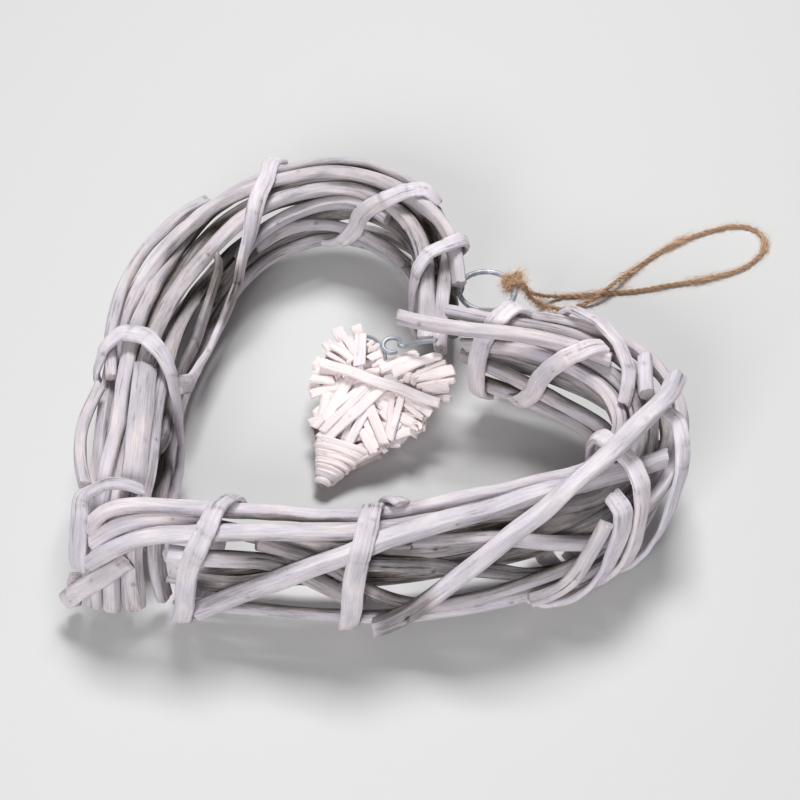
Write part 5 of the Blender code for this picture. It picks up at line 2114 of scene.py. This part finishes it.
@dataclass
class Twine:
    """Two-ply jute twine, its knot and the hairs that stand off it."""

    finish: Material
    step: float = 0.4
    ply_reach: float = 0.52
    ply_off: float = 0.47
    pitch: float = 7.0
    ridge_pitch: float = 5.2
    around: int = 14
    wraps: float = 2.6
    wrap_pitch: float = 2.3
    wrap_gap: float = 0.05
    hairs_per_mm: float = 5.5
    hair_root: float = 0.85
    hair_lift: float = 3.6
    hair_lean: float = 1.7
    hair_curl: float = 0.7
    hair_low: float = 0.15
    hair_thick: float = 0.11
    hair_tone: float = 1.5

    def plies(self, line: Rows, name: str) -> list[Shell]:
        """The two plies round a line.

        Each ply's middle goes round the line once in every pitch, and its surface has ridges
        that wind the other way.

        Args:
            line: the twine's own line.
            name: what the random draws belong to.

        Returns:
            Both plies.
        """
        rng = seed_of(name)
        line = even_steps(line, self.step)
        one, two = bent_frame(line)
        along = run_along(line)
        shells = []
        for ply in range(2):
            turn = TAU * along / self.pitch + ply * math.pi + 0.25 * drift(along, 30.0, rng)
            off = self.ply_off * (1.0 + 0.12 * drift(along, 11.0, rng))
            core = line + off[:, None] * spun(turn, one, two)
            a, b = bent_frame(core)
            angle = all_round(self.around)
            strand = angle[None, :] - TAU * along[:, None] / self.ridge_pitch
            rise = 0.06 * np.sin(5.0 * strand + rng.uniform(0.0, TAU))
            rise += 0.04 * np.sin(3.0 * strand + 1.7 * drift(along, 9.0, rng)[:, None])
            reach = self.ply_reach * (1.0 + 0.10 * drift(along, 8.0, rng))[:, None] + rise
            x = reach * np.cos(angle)
            y = reach * np.sin(angle)
            rings = swept(core, x, y, a, b)
            quads, tris = closed_tube(rings)
            points = np.vstack([rings.reshape(-1, 3), core[:1], core[-1:]])
            grain = np.stack([2.0 * np.cos(strand), 2.0 * np.sin(strand),
                              along[:, None] + 0.0 * strand], axis=-1).reshape(-1, 3)
            grain = np.vstack([grain, grain[:1], grain[-1:]]) + rng.uniform(-99.0, 99.0, 3)
            tone = np.zeros_like(points)
            # Ridges lighter and grooves darker: painted highlight and shade for the jute
            tone[:-2, 0] = np.clip(0.5 + 3.0 * rise.ravel(), 0.0, 1.0)
            shells.append(Shell(points, quads[:, ::-1], tris[:, ::-1], grain, tone, 0.0 * tone))
        return shells

    def hairs(self, line: Rows, name: str, density: float, long: float, most: float) -> Shell:
        """Loose fibres that stand off a line.

        Args:
            line: the twine's own line.
            name: what the random draws belong to.
            density: fibres for each millimetre.
            long: usual length.
            most: how far from the line a fibre may reach.

        Returns:
            All the fibres, each a thin closed three-sided tube.
        """
        rng = seed_of(name)
        line = even_steps(line, self.step)
        one, two = bent_frame(line)
        way = headings(line)
        count = int(run_along(line)[-1] * density)
        along = run_along(line)
        thick = 0.25 + np.clip(drift(along, 28.0, rng), 0.0, 1.5) ** 2
        at = rng.choice(len(line), count, p=thick / thick.sum())
        turn = rng.uniform(0.0, TAU, count)
        out = spun(turn, one[at], two[at])
        side = spun(turn, two[at], -one[at])
        reach = long * rng.gamma(2.2, 0.45, count)[:, None]
        lean = rng.normal(0.0, self.hair_lean, (count, 1))
        curl = rng.normal(0.0, self.hair_curl, (count, 1))
        steps = np.linspace(0.0, 1.0, 7)
        rows = []
        for t in steps:
            lift = np.minimum(reach, self.hair_lift) * (t - 0.42 * t * t)
            lift = self.hair_root + lift * rng.uniform(0.75, 1.0)
            rows.append(line[at] + lift * out + (lean * t + curl * t * t) * reach * 0.6 * way[at]
                        + curl * t * t * reach * 0.5 * side)
        middle = np.stack(rows, axis=1)
        root = line[at][:, None, :]
        for _ in range(3):
            far = off_line(middle, line).max(axis=1)[:, None, None]
            middle = root + (middle - root) * np.minimum(1.0, most / far)
        middle[..., 2] = np.maximum(middle[..., 2], self.hair_low)
        thin = self.hair_thick * (1.0 - 0.6 * steps)[None, :, None, None]
        thin = thin * rng.uniform(0.6, 1.3, (count, 1, 1, 1))
        angle = all_round(3)
        ring = np.cos(angle)[None, None, :, None] * side[:, None, None, :]
        ring = ring + np.sin(angle)[None, None, :, None] * way[at][:, None, None, :]
        tubes = middle[:, :, None, :] + thin * ring
        points = tubes.reshape(-1, 3)
        base = np.arange(len(points)).reshape(count, len(steps), 3)
        on = np.roll(base, -1, axis=2)
        quads = np.stack([base[:, :-1], on[:, :-1], on[:, 1:], base[:, 1:]], -1).reshape(-1, 4)
        tris = np.vstack([base[:, 0, ::-1].reshape(-1, 3), base[:, -1].reshape(-1, 3)])
        grain = points + rng.uniform(-20.0, 20.0, 3)
        tone = np.tile([self.hair_tone, 0.0, 0.0], (len(points), 1))
        return Shell(points, quads, tris, grain, tone, 0.0 * tone)

    def lie(self) -> Rows:
        """The line that the loop follows."""
        return lying(smooth_route(twine_route(), 600))

    def loop(self) -> Thing:
        """The free loop of twine.

        Returns:
            The piece.
        """
        dense = self.lie()
        shells = self.plies(dense, "twine loop")
        shells.append(self.hairs(dense, "twine hairs", self.hairs_per_mm, 4.6, 3.2))
        piece = Shell.together(shells).piece("twine_loop_cord", self.finish)
        return dressed(piece, "twine_loop")

    def knot(self) -> Thing:
        """The knot: wraps round the wire of the ring and an overhand lump, a trefoil, on them.

        Returns:
            The piece.
        """
        centre = knot_centre()
        angle = math.radians(KNOT_TURN)
        along = np.array([-math.sin(angle), math.cos(angle), 0.0])
        out = np.array([math.cos(angle), math.sin(angle), 0.0])
        turn = np.linspace(0.0, TAU * self.wraps, 160)
        reach = RING_WIRE / 2.0 + TWINE / 2.0 + self.wrap_gap
        wraps = centre + np.cos(turn)[:, None] * reach * out + np.sin(turn)[:, None] * reach * UP
        wraps = wraps + ((turn / TAU - self.wraps / 2.0) * self.wrap_pitch)[:, None] * along
        t = np.linspace(0.0, TAU, 220)
        lump = np.stack([(np.sin(t) + 2.0 * np.sin(2.0 * t)) * 1.15,
                         (np.cos(t) - 2.0 * np.cos(2.0 * t)) * 1.5,
                         -np.sin(3.0 * t) * 1.5], axis=1)
        lump = centre + lump[:, :1] * along + lump[:, 1:2] * out + lump[:, 2:] * UP
        lump = lump + 1.6 * UP + 1.2 * out
        shells = self.plies(wraps, "knot wraps") + self.plies(lump, "knot lump")
        shells.append(self.hairs(lump, "knot hairs", 16.0, 3.4, 5.0))
        shells.append(self.hairs(wraps, "wrap hairs", 9.0, 2.6, 4.2))
        piece = Shell.together(shells).piece("twine_knot_cord", self.finish)
        return dressed(piece, "twine_knot")

    def build(self) -> list[Thing]:
        """Make the loop and its knot.

        Returns:
            The knot and the loop.
        """
        knot = self.knot()
        loop = self.loop()
        path = metres(self.lie())
        return [knot, loop]


@dataclass
class Studio:
    """Floor, lights, world and camera."""

    target: tuple = (0.1, 43.9, 15.0)
    azimuth: float = 47.3
    elevation: float = 48.3
    distance: float = 685.5
    lens: float = 74.97
    floor_size: float = 6.0
    floor_drop: float = 0.00002
    floor_grey: float = 0.70
    floor_rough: float = 0.7
    sky: float = 0.13

    def floor(self) -> None:
        """A pale floor under the wreath."""
        half = self.floor_size / 2.0
        z = CAD_BOX[0][2] - self.floor_drop
        mesh = bpy.data.meshes.new("floor")
        corners = [(-half, -half, z), (half, -half, z), (half, half, z), (-half, half, z)]
        mesh.from_pydata(corners, [], [(0, 1, 2, 3)])
        material, g, shader = fresh_material("floor")
        grey = self.floor_grey
        g.feed(shader, {"Base Color": (grey, grey, grey, 1.0), "Roughness": self.floor_rough})
        mesh.materials.append(material)
        in_scene("floor", mesh)

    def lamp(self, name: str, place: tuple, size: float, power: float) -> None:
        """A square lamp that faces the wreath.

        Args:
            name: name of the lamp.
            place: where it is, in metres.
            size: side of its square, in metres.
            power: watts.
        """
        data = bpy.data.lights.new(name, "AREA")
        data.size = size
        data.energy = power
        thing = in_scene(name, data)
        thing.location = place
        thing.rotation_euler = (-Vector(place)).to_track_quat("-Z", "Y").to_euler()

    def world(self) -> None:
        """Pale light from all round."""
        world = bpy.data.worlds.new("studio")
        world.use_nodes = True
        light = world.node_tree.nodes["Background"]
        Graph(world.node_tree).feed(light, {0: (1.0, 1.0, 1.0, 1.0), 1: self.sky})
        bpy.context.scene.world = world
        bpy.context.scene.view_settings.view_transform = "Standard"

    def camera(self) -> None:
        """The camera, where the photograph was taken from."""
        azimuth = math.radians(self.azimuth)
        rise = math.radians(self.elevation)
        back = Vector((math.sin(azimuth) * math.cos(rise), -math.cos(azimuth) * math.cos(rise),
                       math.sin(rise)))
        data = bpy.data.cameras.new("camera")
        data.lens = self.lens
        data.clip_start = 0.01
        thing = in_scene("camera", data)
        thing.location = (Vector(self.target) + back * self.distance) * MM
        thing.rotation_euler = back.to_track_quat("Z", "Y").to_euler()
        bpy.context.scene.camera = thing

    def build(self) -> None:
        """Set up everything round the wreath."""
        self.floor()
        self.world()
        self.lamp("key", (-0.35, 0.45, 1.35), 0.5, 17.0)
        self.lamp("fill", (0.55, -1.05, 0.8), 0.5, 10.5)
        self.camera()


def main() -> None:
    """Build the studio and every piece."""
    logging.basicConfig(level=logging.INFO, format="%(message)s")
    Studio().build()
    finishes = Finishes()
    pieces = WillowWreath(finishes.willow).build()
    pieces.append(SmallHeart(finishes.small).build())
    pieces += Wires(finishes.wire).build()
    pieces += Twine(finishes.jute).build()
    for piece in pieces:
        mesh = piece.data
        LOG.info("%s: %d points, %d faces", piece.name, len(mesh.vertices), len(mesh.polygons))


if __name__ == "__main__":
    main()
